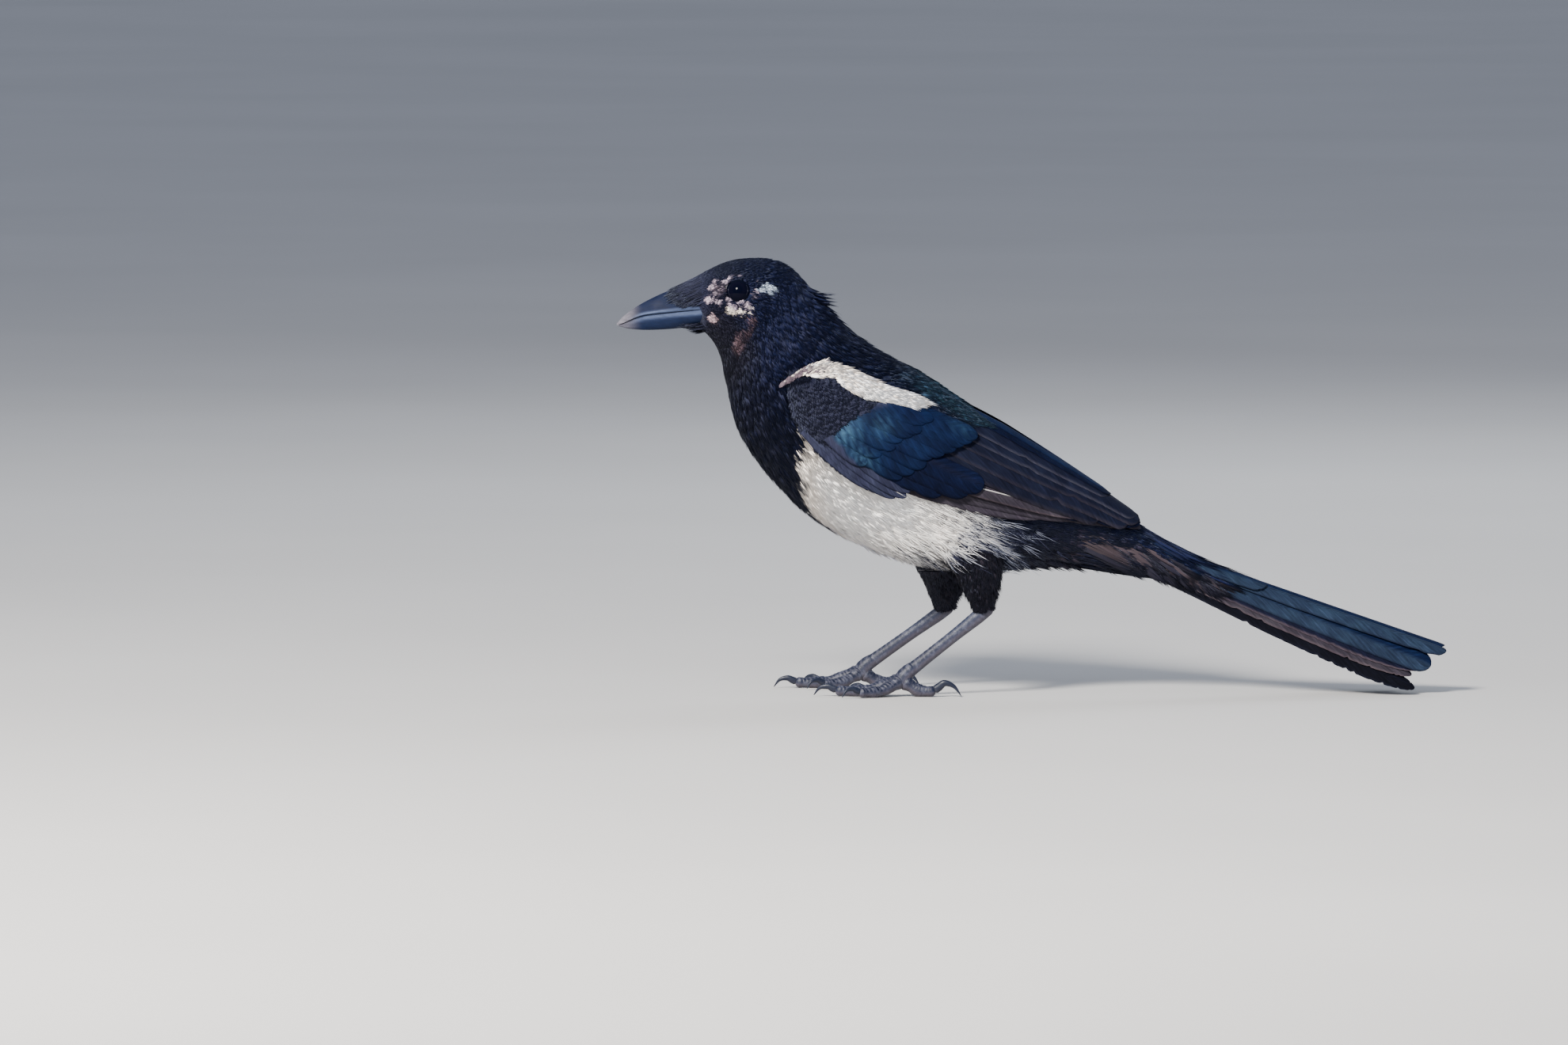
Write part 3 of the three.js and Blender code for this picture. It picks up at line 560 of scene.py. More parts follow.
class NodeKit:
    """Short ways to place and join shader or geometry nodes in one tree."""

    def __init__(self, tree: NodeTree) -> None:
        self.tree = tree

    def give(self, node: Node, inputs: dict) -> None:
        """Sets a node's inputs, by name or number, to values or to other nodes' outputs."""
        for key, value in inputs.items():
            if isinstance(value, NodeSocket):
                self.tree.links.new(value, node.inputs[key])
            else:
                node.inputs[key].default_value = value

    def add(self, kind: str, inputs: Optional[dict] = None, **settings: object) -> Node:
        """Places a node.

        Args:
            kind: The node's type name.
            inputs: Values or output sockets for its inputs, by name or number.
            settings: Attributes of the node itself.

        Returns:
            The new node.
        """
        made = self.tree.nodes.new(kind)
        for key, value in settings.items():
            setattr(made, key, value)
        self.give(made, inputs or {})
        return made

    def out(self, kind: str, inputs: Optional[dict] = None, **settings: object) -> NodeSocket:
        """Places a node and gives back its first output."""
        return self.add(kind, inputs, **settings).outputs[0]

    def math(self, operation: str, *values: object) -> NodeSocket:
        """A Math node's output for two or three inputs."""
        return self.out("ShaderNodeMath", dict(enumerate(values)), operation=operation)

    def mix(self, share: object, first: object, second: object, blend: str = "MIX") -> NodeSocket:
        """A colour mixed from two."""
        inputs = {0: share, 6: first, 7: second}
        return self.add("ShaderNodeMix", inputs, data_type="RGBA", blend_type=blend).outputs[2]

    def times(self, colour: NodeSocket, factors: tuple) -> NodeSocket:
        """A colour with its red, green and blue multiplied."""
        return self.mix(1, colour, (*factors, 1), "MULTIPLY")

    def span(self, value: object, low: float, high: float, to_low: float, to_high: float) -> NodeSocket:
        """A number moved from one range to another, held at its ends."""
        return self.out("ShaderNodeMapRange", {0: value, 1: low, 2: high, 3: to_low, 4: to_high})

    def noise(self, vector: object, scale: float, detail: float, rough: float) -> NodeSocket:
        """A noise value over a vector."""
        return self.out("ShaderNodeTexNoise",
                        {"Vector": vector, "Scale": scale, "Detail": detail, "Roughness": rough})

    def attribute(self, name: str) -> Node:
        """A node that reads a named value of the mesh."""
        return self.add("ShaderNodeAttribute", attribute_name=name)

    def place(self) -> NodeSocket:
        """The object's own coordinates."""
        return self.add("ShaderNodeTexCoord").outputs["Object"]


def new_group(name: str, inputs: dict, *outputs: str) -> tuple[NodeKit, dict, Node]:
    """Starts a shader node group with named sockets.

    Args:
        name: The group's name.
        inputs: Socket types by input name.
        outputs: Names of the outputs, which are all numbers.

    Returns:
        The group's kit, its input sockets by name and its output node.
    """
    kit = NodeKit(bpy.data.node_groups.new(name, "ShaderNodeTree"))
    for socket, kind in inputs.items():
        kit.tree.interface.new_socket(socket, in_out="INPUT", socket_type=kind)
    for socket in outputs:
        kit.tree.interface.new_socket(socket, in_out="OUTPUT", socket_type="NodeSocketFloat")
    given = kit.add("NodeGroupInput")
    return kit, {name: given.outputs[name] for name in inputs}, kit.add("NodeGroupOutput")


def barb_group() -> NodeTree:
    """Fine slanting barbs of a vane, as a height and a streak, from its own map."""
    number = "NodeSocketFloat"
    kit, given, out = new_group(
        "barbs", {"Map": "NodeSocketVector", "Barbs": number, "Slant": number}, "Height", "Streak")
    split = kit.add("ShaderNodeSeparateXYZ", {0: given["Map"]}).outputs
    lean = kit.math("MULTIPLY", kit.math("ABSOLUTE", split[1]), given["Slant"])
    line = kit.math("MULTIPLY", kit.math("SUBTRACT", split[0], lean), given["Barbs"])
    wave = kit.math("SINE", kit.math("MULTIPLY", line, 2 * math.pi))
    lengthwise = kit.out("ShaderNodeCombineXYZ", {0: kit.math("MULTIPLY", line, 0.3), 1: split[1]})
    streak = kit.noise(lengthwise, 1.6, 5, 0.75)
    kit.give(out, {"Height": kit.math("ADD", kit.math("MULTIPLY", wave, 0.12), streak), "Streak": streak})
    return kit.tree


def patch_group() -> NodeTree:
    """Soft patches over a piece, as a mask, for worn and glossy places."""
    kit, given, out = new_group("patches", dict.fromkeys(("Scale", "Low", "High"), "NodeSocketFloat"), "Mask")
    texture = kit.out("ShaderNodeTexNoise", {"Vector": kit.place(), "Scale": given["Scale"], "Detail": 4.0})
    kit.give(out, {"Mask": kit.out("ShaderNodeMapRange", {0: texture, 1: given["Low"], 2: given["High"]})})
    return kit.tree


class Groups:
    """The shader groups that several finishes share."""

    barbs = barb_group()
    patches = patch_group()


@dataclass(frozen=True)
class Finish:
    """What every finish has: a name, the plain numbers of its shader and what it lays on it."""

    name: str
    roughness: float = 0.5
    specular: float = 0.5
    sheen: float = 0.0
    sheen_tint: tuple = (0.6, 0.7, 1, 1)
    coat: float = 0.0
    relief: float = 0.0

    def make(self) -> Material:
        """The material, with its plain values set and what the finish lays on it."""
        material = bpy.data.materials.new(self.name)
        material.use_nodes = True
        kit = NodeKit(material.node_tree)
        laid = self.lay(kit)
        if self.relief:
            laid["Normal"] = kit.out("ShaderNodeBump", {"Height": laid.pop("Height"), "Strength": self.relief,
                                                        "Distance": RELIEF})
        kit.give(material.node_tree.nodes["Principled BSDF"], {
            "Roughness": self.roughness, "Specular IOR Level": self.specular, "Sheen Weight": self.sheen,
            "Sheen Roughness": 0.4, "Sheen Tint": self.sheen_tint, "Coat Weight": self.coat,
            "Coat Roughness": 0.12, **laid})
        return material

    def lay(self, kit: NodeKit) -> dict:
        """What goes into the shader.

        Args:
            kit: Places the nodes.

        Returns:
            Sockets by the shader's input names, with the relief under Height.
        """
        raise NotImplementedError

    def patches(self, kit: NodeKit, scale: float, low: float, high: float) -> NodeSocket:
        """The shared patch mask at this finish's own scale."""
        return kit.out("ShaderNodeGroup", {"Scale": scale, "Low": low, "High": high}, node_tree=Groups.patches)


@dataclass(frozen=True)
class CoatFinish(Finish):
    """Small body feathers: the plumage colour, lighter at worn tips, with faint patches."""

    lighten: float = 0.06

    def lay(self, kit: NodeKit) -> dict:
        """Patches that darken, paler tips and a trace of gloss."""
        tint = kit.attribute("plumage").outputs
        spread = self.patches(kit, 260, 0.35, 0.7)
        dark = kit.mix(kit.span(spread, 0, 1, 0, 0.07), tint["Color"], (0, 0, 0, 1))
        tips = kit.span(kit.attribute("along").outputs["Fac"], 0.35, 1, 0, self.lighten)
        return {"Base Color": kit.mix(tips, dark, kit.times(tint["Color"], (1.8, 1.8, 2))),
                "Metallic": kit.math("MULTIPLY", tint["Alpha"], 0.8),
                "Roughness": kit.span(spread, 0, 1, self.roughness - 0.08, self.roughness + 0.12)}


@dataclass(frozen=True)
class VaneFinish(Finish):
    """Flight and tail feathers: barbs as relief and streaks, patchy gloss over the feather's own colour."""

    barbs: float = 11.0
    slant: float = 1.7
    relief: float = 0.22

    def lay(self, kit: NodeKit) -> dict:
        """Dark and pale streaks along the barbs, brighter patches and gloss."""
        tint = kit.attribute("plumage").outputs
        place = kit.out("ShaderNodeUVMap", uv_map="vane")
        barbs = kit.add("ShaderNodeGroup", {"Map": place, "Barbs": self.barbs, "Slant": self.slant},
                        node_tree=Groups.barbs).outputs
        streak = barbs["Streak"]
        spread = self.patches(kit, 110, 0.42, 0.66)
        dark = kit.mix(kit.span(streak, 0.36, 0.56, 0.5, 0), tint["Color"], (0, 0, 0, 1))
        pale = kit.times(tint["Color"], (3, 2.7, 2.6))
        streaked = kit.mix(kit.span(streak, 0.58, 0.74, 0, 0.6), dark, pale)
        bright = kit.times(streaked, (1.6, 1.7, 1.5))
        return {"Base Color": kit.mix(kit.math("MULTIPLY", spread, 0.6), streaked, bright),
                "Metallic": kit.math("MULTIPLY", tint["Alpha"], kit.span(spread, 0, 1, 0.7, 1.1)),
                "Roughness": kit.span(streak, 0.3, 0.8, self.roughness - 0.1, self.roughness + 0.15),
                "Height": barbs["Height"]}


@dataclass(frozen=True)
class HornFinish(Finish):
    """Bill and claws: the horn's own colour with growth lines and a dusty bloom."""

    bloom: tuple = (0.09, 0.11, 0.17, 1)
    bloom_share: float = 0.16
    streak: tuple = (200, 900, 900)
    relief: float = 0.2

    def lay(self, kit: NodeKit) -> dict:
        """Dark growth lines under patches of bloom."""
        stretched = kit.out("ShaderNodeMapping", {"Vector": kit.place(), "Scale": self.streak})
        grain = kit.noise(stretched, 1, 5, 0.65)
        spread = self.patches(kit, 170, 0.35, 0.7)
        dark = kit.mix(kit.span(grain, 0.35, 0.7, 0.4, 0), kit.attribute("plumage").outputs["Color"],
                       (0.003, 0.004, 0.009, 1))
        return {"Base Color": kit.mix(kit.math("MULTIPLY", spread, self.bloom_share), dark, self.bloom),
                "Roughness": kit.span(spread, 0, 1, self.roughness - 0.05, self.roughness + 0.15),
                "Height": grain}


@dataclass(frozen=True)
class SkinFinish(Finish):
    """Bare and scaled skin: the piece's own colour with blotches, pores and pale worn places."""

    blotch: tuple = (0.15, 0.15, 0.17, 1)
    blotch_share: float = 0.6
    grain: float = 1500.0
    relief: float = 0.3

    def lay(self, kit: NodeKit) -> dict:
        """Blotches under dark pores."""
        spread = self.patches(kit, 420, 0.5, 0.62)
        pores = kit.noise(kit.place(), self.grain, 3, 0.6)
        blotchy = kit.mix(kit.math("MULTIPLY", spread, self.blotch_share),
                          kit.attribute("plumage").outputs["Color"], self.blotch)
        dark = (0.006, 0.008, 0.018, 1)
        return {"Base Color": kit.mix(kit.span(pores, 0.3, 0.6, 0.4, 0), blotchy, dark),
                "Roughness": kit.span(pores, 0.3, 0.7, self.roughness + 0.1, self.roughness - 0.08),
                "Height": pores}


@dataclass(frozen=True)
class EyeFinish(Finish):
    """A wet dark eye: near black iris with a faint brown ring round the pupil."""

    def lay(self, kit: NodeKit) -> dict:
        """Dark fibres over the iris."""
        fibres = kit.noise(kit.place(), 2600, 4, 0.7)
        return {"Base Color": kit.mix(kit.span(fibres, 0.35, 0.7, 0.5, 0),
                                      kit.attribute("plumage").outputs["Color"], (0.0005, 0.0006, 0.002, 1))}


@dataclass(frozen=True)
class FloorFinish(Finish):
    """A plain pale floor with a trace of unevenness."""

    def lay(self, kit: NodeKit) -> dict:
        """Two pale greys in wide patches."""
        spread = self.patches(kit, 2, 0.3, 0.7)
        return {"Base Color": kit.mix(spread, (0.36, 0.355, 0.35, 1), (0.39, 0.385, 0.38, 1))}


@dataclass
class Tuft:
    """A small feather as a fan of tapering barb locks, one unit long and one wide."""

    locks: int
    spread: float
    arch: float
    short: float
    breadth: float
    rows: tuple = ((0, 0.6), (0.55, 1))

    def make(self, name: str, rng: Random) -> Object:
        """Builds one tuft with the values that the coat reads from it.

        Args:
            name: The object's name.
            rng: Draws the differences between one lock and the next.

        Returns:
            The tuft, not linked to the scene.
        """
        points, faces, along = [], [], []
        for lock in range(self.locks):
            place = 0.0 if self.locks == 1 else 2 * lock / (self.locks - 1) - 1
            length = 1.0 - self.short * place**2 - rng.uniform(0, 0.14)
            sway = rng.uniform(-0.05, 0.05)
            first = len(points)
            for t, share in self.rows:
                middle = self.spread * place * (0.35 + 0.6 * t) + sway * t
                half = self.breadth * share / 2
                height = self.arch * math.sin(math.pi * min(1, t)) - 0.04 * abs(place)
                for dx, dz in ((-half, -0.02), (0, 0.05), (half, -0.02)):
                    points.append((middle + dx, t * length, height + dz))
                    along.append(t)
            points.append((self.spread * place * 0.95 + sway, length, -0.03))
            along.append(1)
            for row in range(len(self.rows) - 1):
                a = first + 3 * row
                for k in range(3):
                    b = a + (k + 1) % 3
                    faces.append((a + k, b, b + 3, a + k + 3))
            top, end = first + 3 * (len(self.rows) - 1), len(points) - 1
            faces += [(top, top + 1, end), (top + 1, top + 2, end), (top + 2, top, end)]
            faces.append((first + 2, first + 1, first))
        mesh = bpy.data.meshes.new(name)
        mesh.from_pydata(points, [], faces)
        mesh.attributes.new("along", "FLOAT", "POINT").data.foreach_set("value", along)
        patch = mesh.attributes.new("patch", "FLOAT2", "POINT")
        flat = [value for x, y, _ in points for value in (x, y - 0.5)]
        patch.data.foreach_set("vector", flat)
        face_out(mesh)
        return bpy.data.objects.new(name, mesh)


@dataclass
class Roots:
    """Where tufts grow: a root, its way, its outward side, its size, colour, kind and place on the map."""

    place: Array
    lie: Array
    out: Array
    size: Array
    colour: Array
    kind: Array
    patch: Array

    def pick(self, keep: Array) -> "Roots":
        """The roots that a mask or a list of numbers keeps."""
        return Roots(*(getattr(self, name)[keep] for name in self.__dataclass_fields__))

    @classmethod
    def between(cls, root: Array, tip: Array, out: Array, width: Array, thick: Array, colour: Array,
                rng: Random, patch: Array) -> "Roots":
        """Roots of tufts that reach from one place to another.

        Args:
            root: Where each tuft starts.
            tip: Where it ends.
            out: Its outward side.
            width: Its width.
            thick: Its thickness.
            colour: Its colour.
            rng: Draws its kind.
            patch: Its place on the baking map.

        Returns:
            The roots.
        """
        run = tip - root
        size = beside(width, norm(run), thick)
        return cls(root, unit(run), out, size, colour, rng.integers(0, KINDS, len(root)), patch)

    def points(self, name: str) -> Object:
        """A mesh of bare points that carries these values for the tree of tufts."""
        mesh = bpy.data.meshes.new(name)
        mesh.from_pydata((self.place * MM).tolist(), [], [])
        for label, kind, key, values in (
                ("lie", "FLOAT_VECTOR", "vector", self.lie), ("out", "FLOAT_VECTOR", "vector", self.out),
                ("size", "FLOAT_VECTOR", "vector", self.size * MM),
                ("root_patch", "FLOAT2", "vector", self.patch),
                ("plumage", "FLOAT_COLOR", "color", self.colour)):
            mesh.attributes.new(label, kind, "POINT").data.foreach_set(key, values.astype(np.float32).ravel())
        mesh.attributes.new("kind", "INT", "POINT").data.foreach_set("value", self.kind.astype(np.int32))
        return bpy.data.objects.new(name, mesh)


class TuftTree:
    """Geometry Nodes that set a tuft on every root, and the sets of tufts that they draw from."""

    SETS = {
        "fine": (4, Tuft(3, 0.42, 0.08, 0.2, 0.5)),
        "soft": (5, Tuft(4, 0.45, 0.09, 0.25, 0.4)),
        "silk": (5, Tuft(4, 0.45, 0.12, 0.35, 0.34)),
        "wisp": (5, Tuft(3, 0.7, 0.22, 0.45, 0.16, ((0, 0.9), (0.35, 1), (0.7, 0.6)))),
        "bristle": (3, Tuft(1, 0, 0.16, 0, 1)),
        "covert": (4, Tuft(5, 0.5, 0.06, 0.2, 0.34, ((0, 0.7), (0.7, 1)))),
    }

    def __init__(self, rng: Random) -> None:
        self.sets = {}
        for name, (count, tuft) in self.SETS.items():
            self.sets[name] = bpy.data.collections.new(f"tufts_{name}")
            for number in range(count):
                self.sets[name].objects.link(tuft.make(f"tuft_{name}_{number}", rng))
        self.tree = self.build()

    def build(self) -> NodeTree:
        """The tree, with the tufts, the material, the size, the roll, the patch and the seed as its inputs."""
        tree = bpy.data.node_groups.new("tufts", "GeometryNodeTree")
        for name, kind in (("Geometry", "Geometry"), ("Tufts", "Collection"), ("Material", "Material"),
                           ("Size", "Float"), ("Roll", "Float"), ("Patch", "Float"), ("Seed", "Int")):
            tree.interface.new_socket(name, in_out="INPUT", socket_type=f"NodeSocket{kind}")
        tree.interface.new_socket("Geometry", in_out="OUTPUT", socket_type="NodeSocketGeometry")
        kit = NodeKit(tree)
        given = kit.add("NodeGroupInput").outputs

        def named(name: str, kind: str = "FLOAT_VECTOR") -> NodeSocket:
            """A named value of the roots or the tufts."""
            return kit.out("GeometryNodeInputNamedAttribute", {"Name": name}, data_type=kind)

        turned = kit.out("FunctionNodeAxesToRotation", {0: named("lie"), 1: named("out")},
                         primary_axis="Y", secondary_axis="Z")
        scaled = kit.out("ShaderNodeVectorMath", {0: named("size"), "Scale": given["Size"]}, operation="SCALE")
        tufts = kit.out("GeometryNodeCollectionInfo", {
            "Collection": given["Tufts"], "Separate Children": True, "Reset Children": True})
        laid = kit.out("GeometryNodeInstanceOnPoints", {
            "Points": given["Geometry"], "Instance": tufts, "Pick Instance": True,
            "Instance Index": named("kind", "INT"), "Rotation": turned, "Scale": scaled})
        ends = {2: kit.math("MULTIPLY", given["Roll"], -1), 3: given["Roll"], "Seed": given["Seed"]}
        roll = kit.add("FunctionNodeRandomValue", ends, data_type="FLOAT").outputs[1]
        euler = kit.out("FunctionNodeEulerToRotation", {0: kit.out("ShaderNodeCombineXYZ", {1: roll})})
        rolled = kit.out("GeometryNodeRotateInstances", {"Instances": laid, "Rotation": euler})
        real = kit.out("GeometryNodeRealizeInstances", {0: rolled})
        small = kit.out("ShaderNodeVectorMath", {0: named("patch"), "Scale": given["Patch"]},
                        operation="SCALE")
        spot = kit.out("ShaderNodeVectorMath", {0: named("root_patch"), 1: small}, operation="ADD")
        last = kit.out("GeometryNodeStoreNamedAttribute", {"Geometry": real, "Name": "OFBake", "Value": spot},
                       data_type="FLOAT2", domain="CORNER")
        for name in ("lie", "out", "size", "kind", "root_patch", "patch"):
            last = kit.out("GeometryNodeRemoveAttribute", {"Geometry": last, "Name": name})
        smoothed = kit.out("GeometryNodeSetShadeSmooth", {"Geometry": last})
        dressed = kit.out("GeometryNodeSetMaterial", {"Geometry": smoothed, "Material": given["Material"]})
        kit.add("NodeGroupOutput", {0: dressed})
        return tree

    def grow(self, name: str, roots: Roots, kind: str, material: Material, roll: float = 0.25,
             seed: int = 7) -> Object:
        """Grows tufts on roots and gives them back as one plain mesh.

        Args:
            name: The piece's name.
            roots: Where and how the tufts grow.
            kind: Which set of tufts is used.
            material: The coat's material.
            roll: The most that a tuft turns about its own length, in radians.
            seed: The seed of that turn.

        Returns:
            The new object, linked to the scene.
        """
        roots.kind = roots.kind % len(self.sets[kind].objects)
        holder = roots.points(name + "_roots")
        bpy.context.scene.collection.objects.link(holder)
        modifier = holder.modifiers.new("tufts", "NODES")
        modifier.node_group = self.tree
        inputs = (item for item in self.tree.interface.items_tree if item.in_out == "INPUT")
        sockets = {item.name: item.identifier for item in inputs}
        for label, value in (("Tufts", self.sets[kind]), ("Material", material), ("Size", 1.0), ("Roll", roll),
                             ("Patch", PATCH), ("Seed", seed)):
            modifier[sockets[label]] = value
        mesh = flatten(holder)
        bpy.data.objects.remove(holder)
        return link(name, mesh)


@dataclass(frozen=True)
class Tract:
    """A stretch of coat: the stations it covers and how its feathers grow."""

    name: str
    stations: tuple[float, float]
    length: float
    width: float
    cover: float
    kind: str = "soft"
    stray: float = 7.0


@dataclass
class Coat:
    """The skin of head, neck, body and thighs, and the small feathers on it."""

    tufts: TuftTree
    seed: int = 11
    skin_rows: int = 150
    skin_columns: int = 96
    depth: tuple = ((-0.3, 0.5), (1, 0.6), (2.5, 0.9), (5, 1.4), (7.5, 2.4), (10, 3.2), (14, 3.4),
                    (18, 2.8), (20, 1.6), (21.3, 1.2))
    tries: int = 80000
    overlap: float = 0.7
    underside: float = 135.0  # degrees from the back at which tufts that a thigh pushes far are dropped
    pushed: float = 1.8
    wisp_count: int = 2400
    wisp_pushed: float = 1.0
    low_wisps: float = 0.25
    tracts: tuple = (
        Tract("coat_face", (-0.25, 2.7), 3.8, 1.25, 11, "fine", 10),
        Tract("coat_crown", (2.7, 4.6), 4.4, 1.4, 12, "fine", 9),
        Tract("coat_nape", (4.6, 6.6), 6.2, 1.8, 13, "fine", 9),
        Tract("coat_neck", (6.6, 8.6), 9, 2.6, 14),
        Tract("coat_shoulders", (8.6, 10.7), 11.5, 3.2, 15),
        Tract("coat_breast", (10.7, 12.6), 13, 3.5, 17, "soft", 8),
        Tract("coat_belly", (12.6, 14.5), 14.5, 3.6, 18, "silk", 8),
        Tract("coat_flank", (14.5, 16.6), 15, 3.4, 16, "silk", 10),
        Tract("coat_rump", (16.6, 20.6), 14, 3.2, 14, "silk", 9),
    )

    def __post_init__(self) -> None:
        self.rng = np.random.default_rng(self.seed)
        self.black = CoatFinish("body_feathers", roughness=0.6, specular=0.07, sheen=0.05).make()
        self.flesh = SkinFinish("bare_skin", roughness=0.6, specular=0.3, blotch=(0.42, 0.34, 0.33, 1),
                                blotch_share=0.0).make()

    def skin(self) -> Object:
        """The continuous skin under the coat, with the thighs joined to it."""
        stations = np.linspace(-FORM.end_cap * 0.98, FORM.last + FORM.end_cap * 0.98, self.skin_rows)
        s, a = net(stations, np.linspace(0, 360, self.skin_columns + 1))
        colour = MARKINGS.colour(s, a, np.random.default_rng(self.seed))
        rings = FORM.point(s, a, -steps(self.depth, s))
        body = Sheet().add_rings(rings, colour, OFBake=FORM.unwrap(s, a)).make("skin", self.flesh)
        unite(body, [thigh.skin(self.flesh) for thigh in Thigh.both()])
        return settle(body, "black_plumage", "head", "neck", "torso", "thigh_left", "thigh_right")

    def drape(self, places: Array, lift: float) -> Array:
        """Moves places inside the outer half of a thigh out to its surface, so that the coat goes over it."""
        moved = places.copy()
        for thigh in Thigh.both():
            line, radius = thigh.middle(np.linspace(0, 0.62, 30))
            hip = line[0, 1]
            away = moved[:, None, :] - line[None, :, :]
            away[..., 1] *= np.where(away[..., 1] * hip < 0, 0, 1)
            short = radius[None, :] + lift - norm(away)
            worst = np.argmax(short, axis=1)
            rows = np.arange(len(moved))
            inside = (short[rows, worst] > 0) & (moved[:, 1] * hip > 0)
            push = unit(away[rows, worst]) * short[rows, worst][:, None]
            moved = np.where(inside[:, None], moved + push, moved)
        return moved

    def roots(self, tract: Tract) -> Roots:
        """Spreads a tract's roots evenly over the body and works out how each tuft lies.

        Args:
            tract: The stretch of coat.

        Returns:
            The roots.
        """
        rng = self.rng
        low, high = tract.stations
        each = tract.length * tract.width * self.overlap / tract.cover
        first, second = scatter(self.tries, self.seed * 0.13, self.seed * 0.29)
        s, a = toward(low, high, first), 360.0 * second - 180.0
        along, around, out = FORM.frame_at(s, a)
        wanted = norm(np.cross(along, around)) * (high - low) * 360.0 / each
        side = np.abs(a)
        keep = rng.random(self.tries) < np.minimum(1, wanted / self.tries)
        keep &= ~MARKINGS.under_wing(s, side, 9)
        s, a, along, around, out, side = (v[keep] for v in (s, a, along, around, out, side))
        count = len(s)
        growing = MARKINGS.bare(s, side)
        downward = 22.0 * smooth(13.2, 15.4, s) * (1 - smooth(16.5, 18, s)) * smooth(80, 105, side)
        stray = np.radians(rng.normal(0, tract.stray, count) + downward * np.sign(a) * (side < 170))
        length = tract.length * rng.uniform(0.8, 1.15, count) * (1 - 0.5 * growing)
        ds = length * np.cos(stray) / norm(along)
        da = length * np.sin(stray) / norm(around)
        depth = steps(self.depth, s) * (1 - 0.5 * growing)
        ruffle = self.ruffle(s, side) * rng.random(count) ** 3 - smooth(4.8, 6.2, s) * smooth(8.6, 7.2, s)
        root = self.drape(FORM.point(s, a, -depth), -1.2)
        loose = rng.normal(-0.2, 0.25, count) * np.minimum(1, depth / 2) + ruffle
        free = FORM.point(s + ds, a + da, loose)
        tip = self.drape(free, 0.4)
        clear = (side < self.underside) | (norm(tip - free) < self.pushed)
        width = tract.width * rng.uniform(0.8, 1.2, count)
        share = TIP_SHARE - 0.35 * (s < 7)
        colour = MARKINGS.colour(s + ds * share, a + da * share, rng)
        pale, dark = rng.uniform(0.95, 1.05, count), rng.uniform(0.8, 1.25, count)
        colour[:, :3] *= np.where(colour[:, 1] > 0.3, pale, dark)[:, None]
        colour[:, :3] = np.minimum(colour[:, :3], 0.98)
        patch = FORM.unwrap(s, a % 360)
        return Roots.between(root, tip, out, width, tract.width * 0.75, colour, rng, patch).pick(clear)

    def ruffle(self, station: Array, side: Array) -> Array:
        """How far the longest tips stand off the coat: at the nape, along the belly and at the vent."""
        nape = 8.0 * np.exp(-(((station - 7.6) / 0.55) ** 2) - (side / 30) ** 2)
        throat = 0.8 * np.exp(-(((station - 7) / 2) ** 2) - ((side - 165) / 25) ** 2)
        belly = 1.8 * smooth(11.5, 13.5, station) * (1 - smooth(15.5, 16.5, station)) * smooth(150, 175, side)
        vent = 4.2 * smooth(14.6, 15.6, station) * (1 - smooth(18.5, 20, station)) * smooth(105, 145, side)
        return nape + throat + belly + vent

    def wisps(self) -> Roots:
        """Long loose strands that hang from the rear and the lower edge of the white, the lower ones greyed
        with painted shade.
        """
        rng, count = self.rng, self.wisp_count
        side = rng.uniform(92, 176, count)
        s = steps(MARKINGS.white_rear, side) + rng.normal(-0.6, 0.6, count)
        low = rng.random(count) < self.low_wisps
        s = np.where(low, rng.uniform(11.8, 14.6, count), s)
        side = np.where(low, rng.uniform(148, 180, count), side)
        a = side * rng.choice([-1, 1], count)
        _, _, out = FORM.frame_at(s, a)
        root = self.drape(FORM.point(s, a, -1.6), 0)
        length = rng.uniform(8, 15, count) * np.where(low, 0.6, 1) * (1 - 0.35 * smooth(130, 165, side))
        fall = np.radians(rng.normal(26, 9, count)) * np.where(low, 0.7 + 0.7 * smooth(13, 14.2, s), 1)
        free = root + beside(length * np.cos(fall), 0, -length * np.sin(fall))
        free[:, 1] += out[:, 1] * rng.uniform(1, 3.5, count)
        tip = self.drape(free, 1.2)
        edge = np.interp(tip[:, 0], FORM.bottom[:, 0], FORM.bottom[:, 2])
        short = tip[:, 2] > edge - rng.uniform(1, 6, count)
        short &= (side < self.underside) | (norm(tip - free) < self.wisp_pushed)
        width = rng.uniform(1.1, 2.1, count)
        ahead = smooth(-1.5, 0.1, s - steps(MARKINGS.white_rear, side) + rng.normal(0, 0.25, count))[:, None]
        # The lower wisps get a random share of bluish grey as painted shade under the belly; the rear ones grey
        # for real where the white meets the dark flank.
        grey = np.maximum(ahead, 0.6 * low[:, None] * rng.random((count, 1)))
        pale = toward(Tone.WHITE.rgba * 0.9, Tone.GREY_WHITE.rgba * 0.55, grey)
        colour = toward(pale, Tone.GREY_BLACK.rgba, rng.random((count, 1)) < 0.6 * ahead)
        return Roots.between(root, tip, unit(out + 0.2 * UP), width, width * 1.1, colour, rng,
                             FORM.unwrap(s, a % 360)).pick(short)

    def clear_of_face(self, roots: Roots) -> Roots:
        """Drops tufts that would cover an eye or the base of the bill."""
        keep = np.ones(len(roots.place), bool)
        tip = roots.place + roots.lie * roots.size[:, 1:2]
        for spot in (roots.place, tip, (roots.place + tip) / 2):
            for side in SIDES.values():
                keep &= norm(spot - Eye.place(side)[0]) > Eye.clear
            x, _, z = spot.T
            keep &= ~((x < -145.4) & (z > 162.6 + (x + 152) * 0.1) & (z < 170.4 + (x + 142) * 0.1))
        return roots.pick(keep)

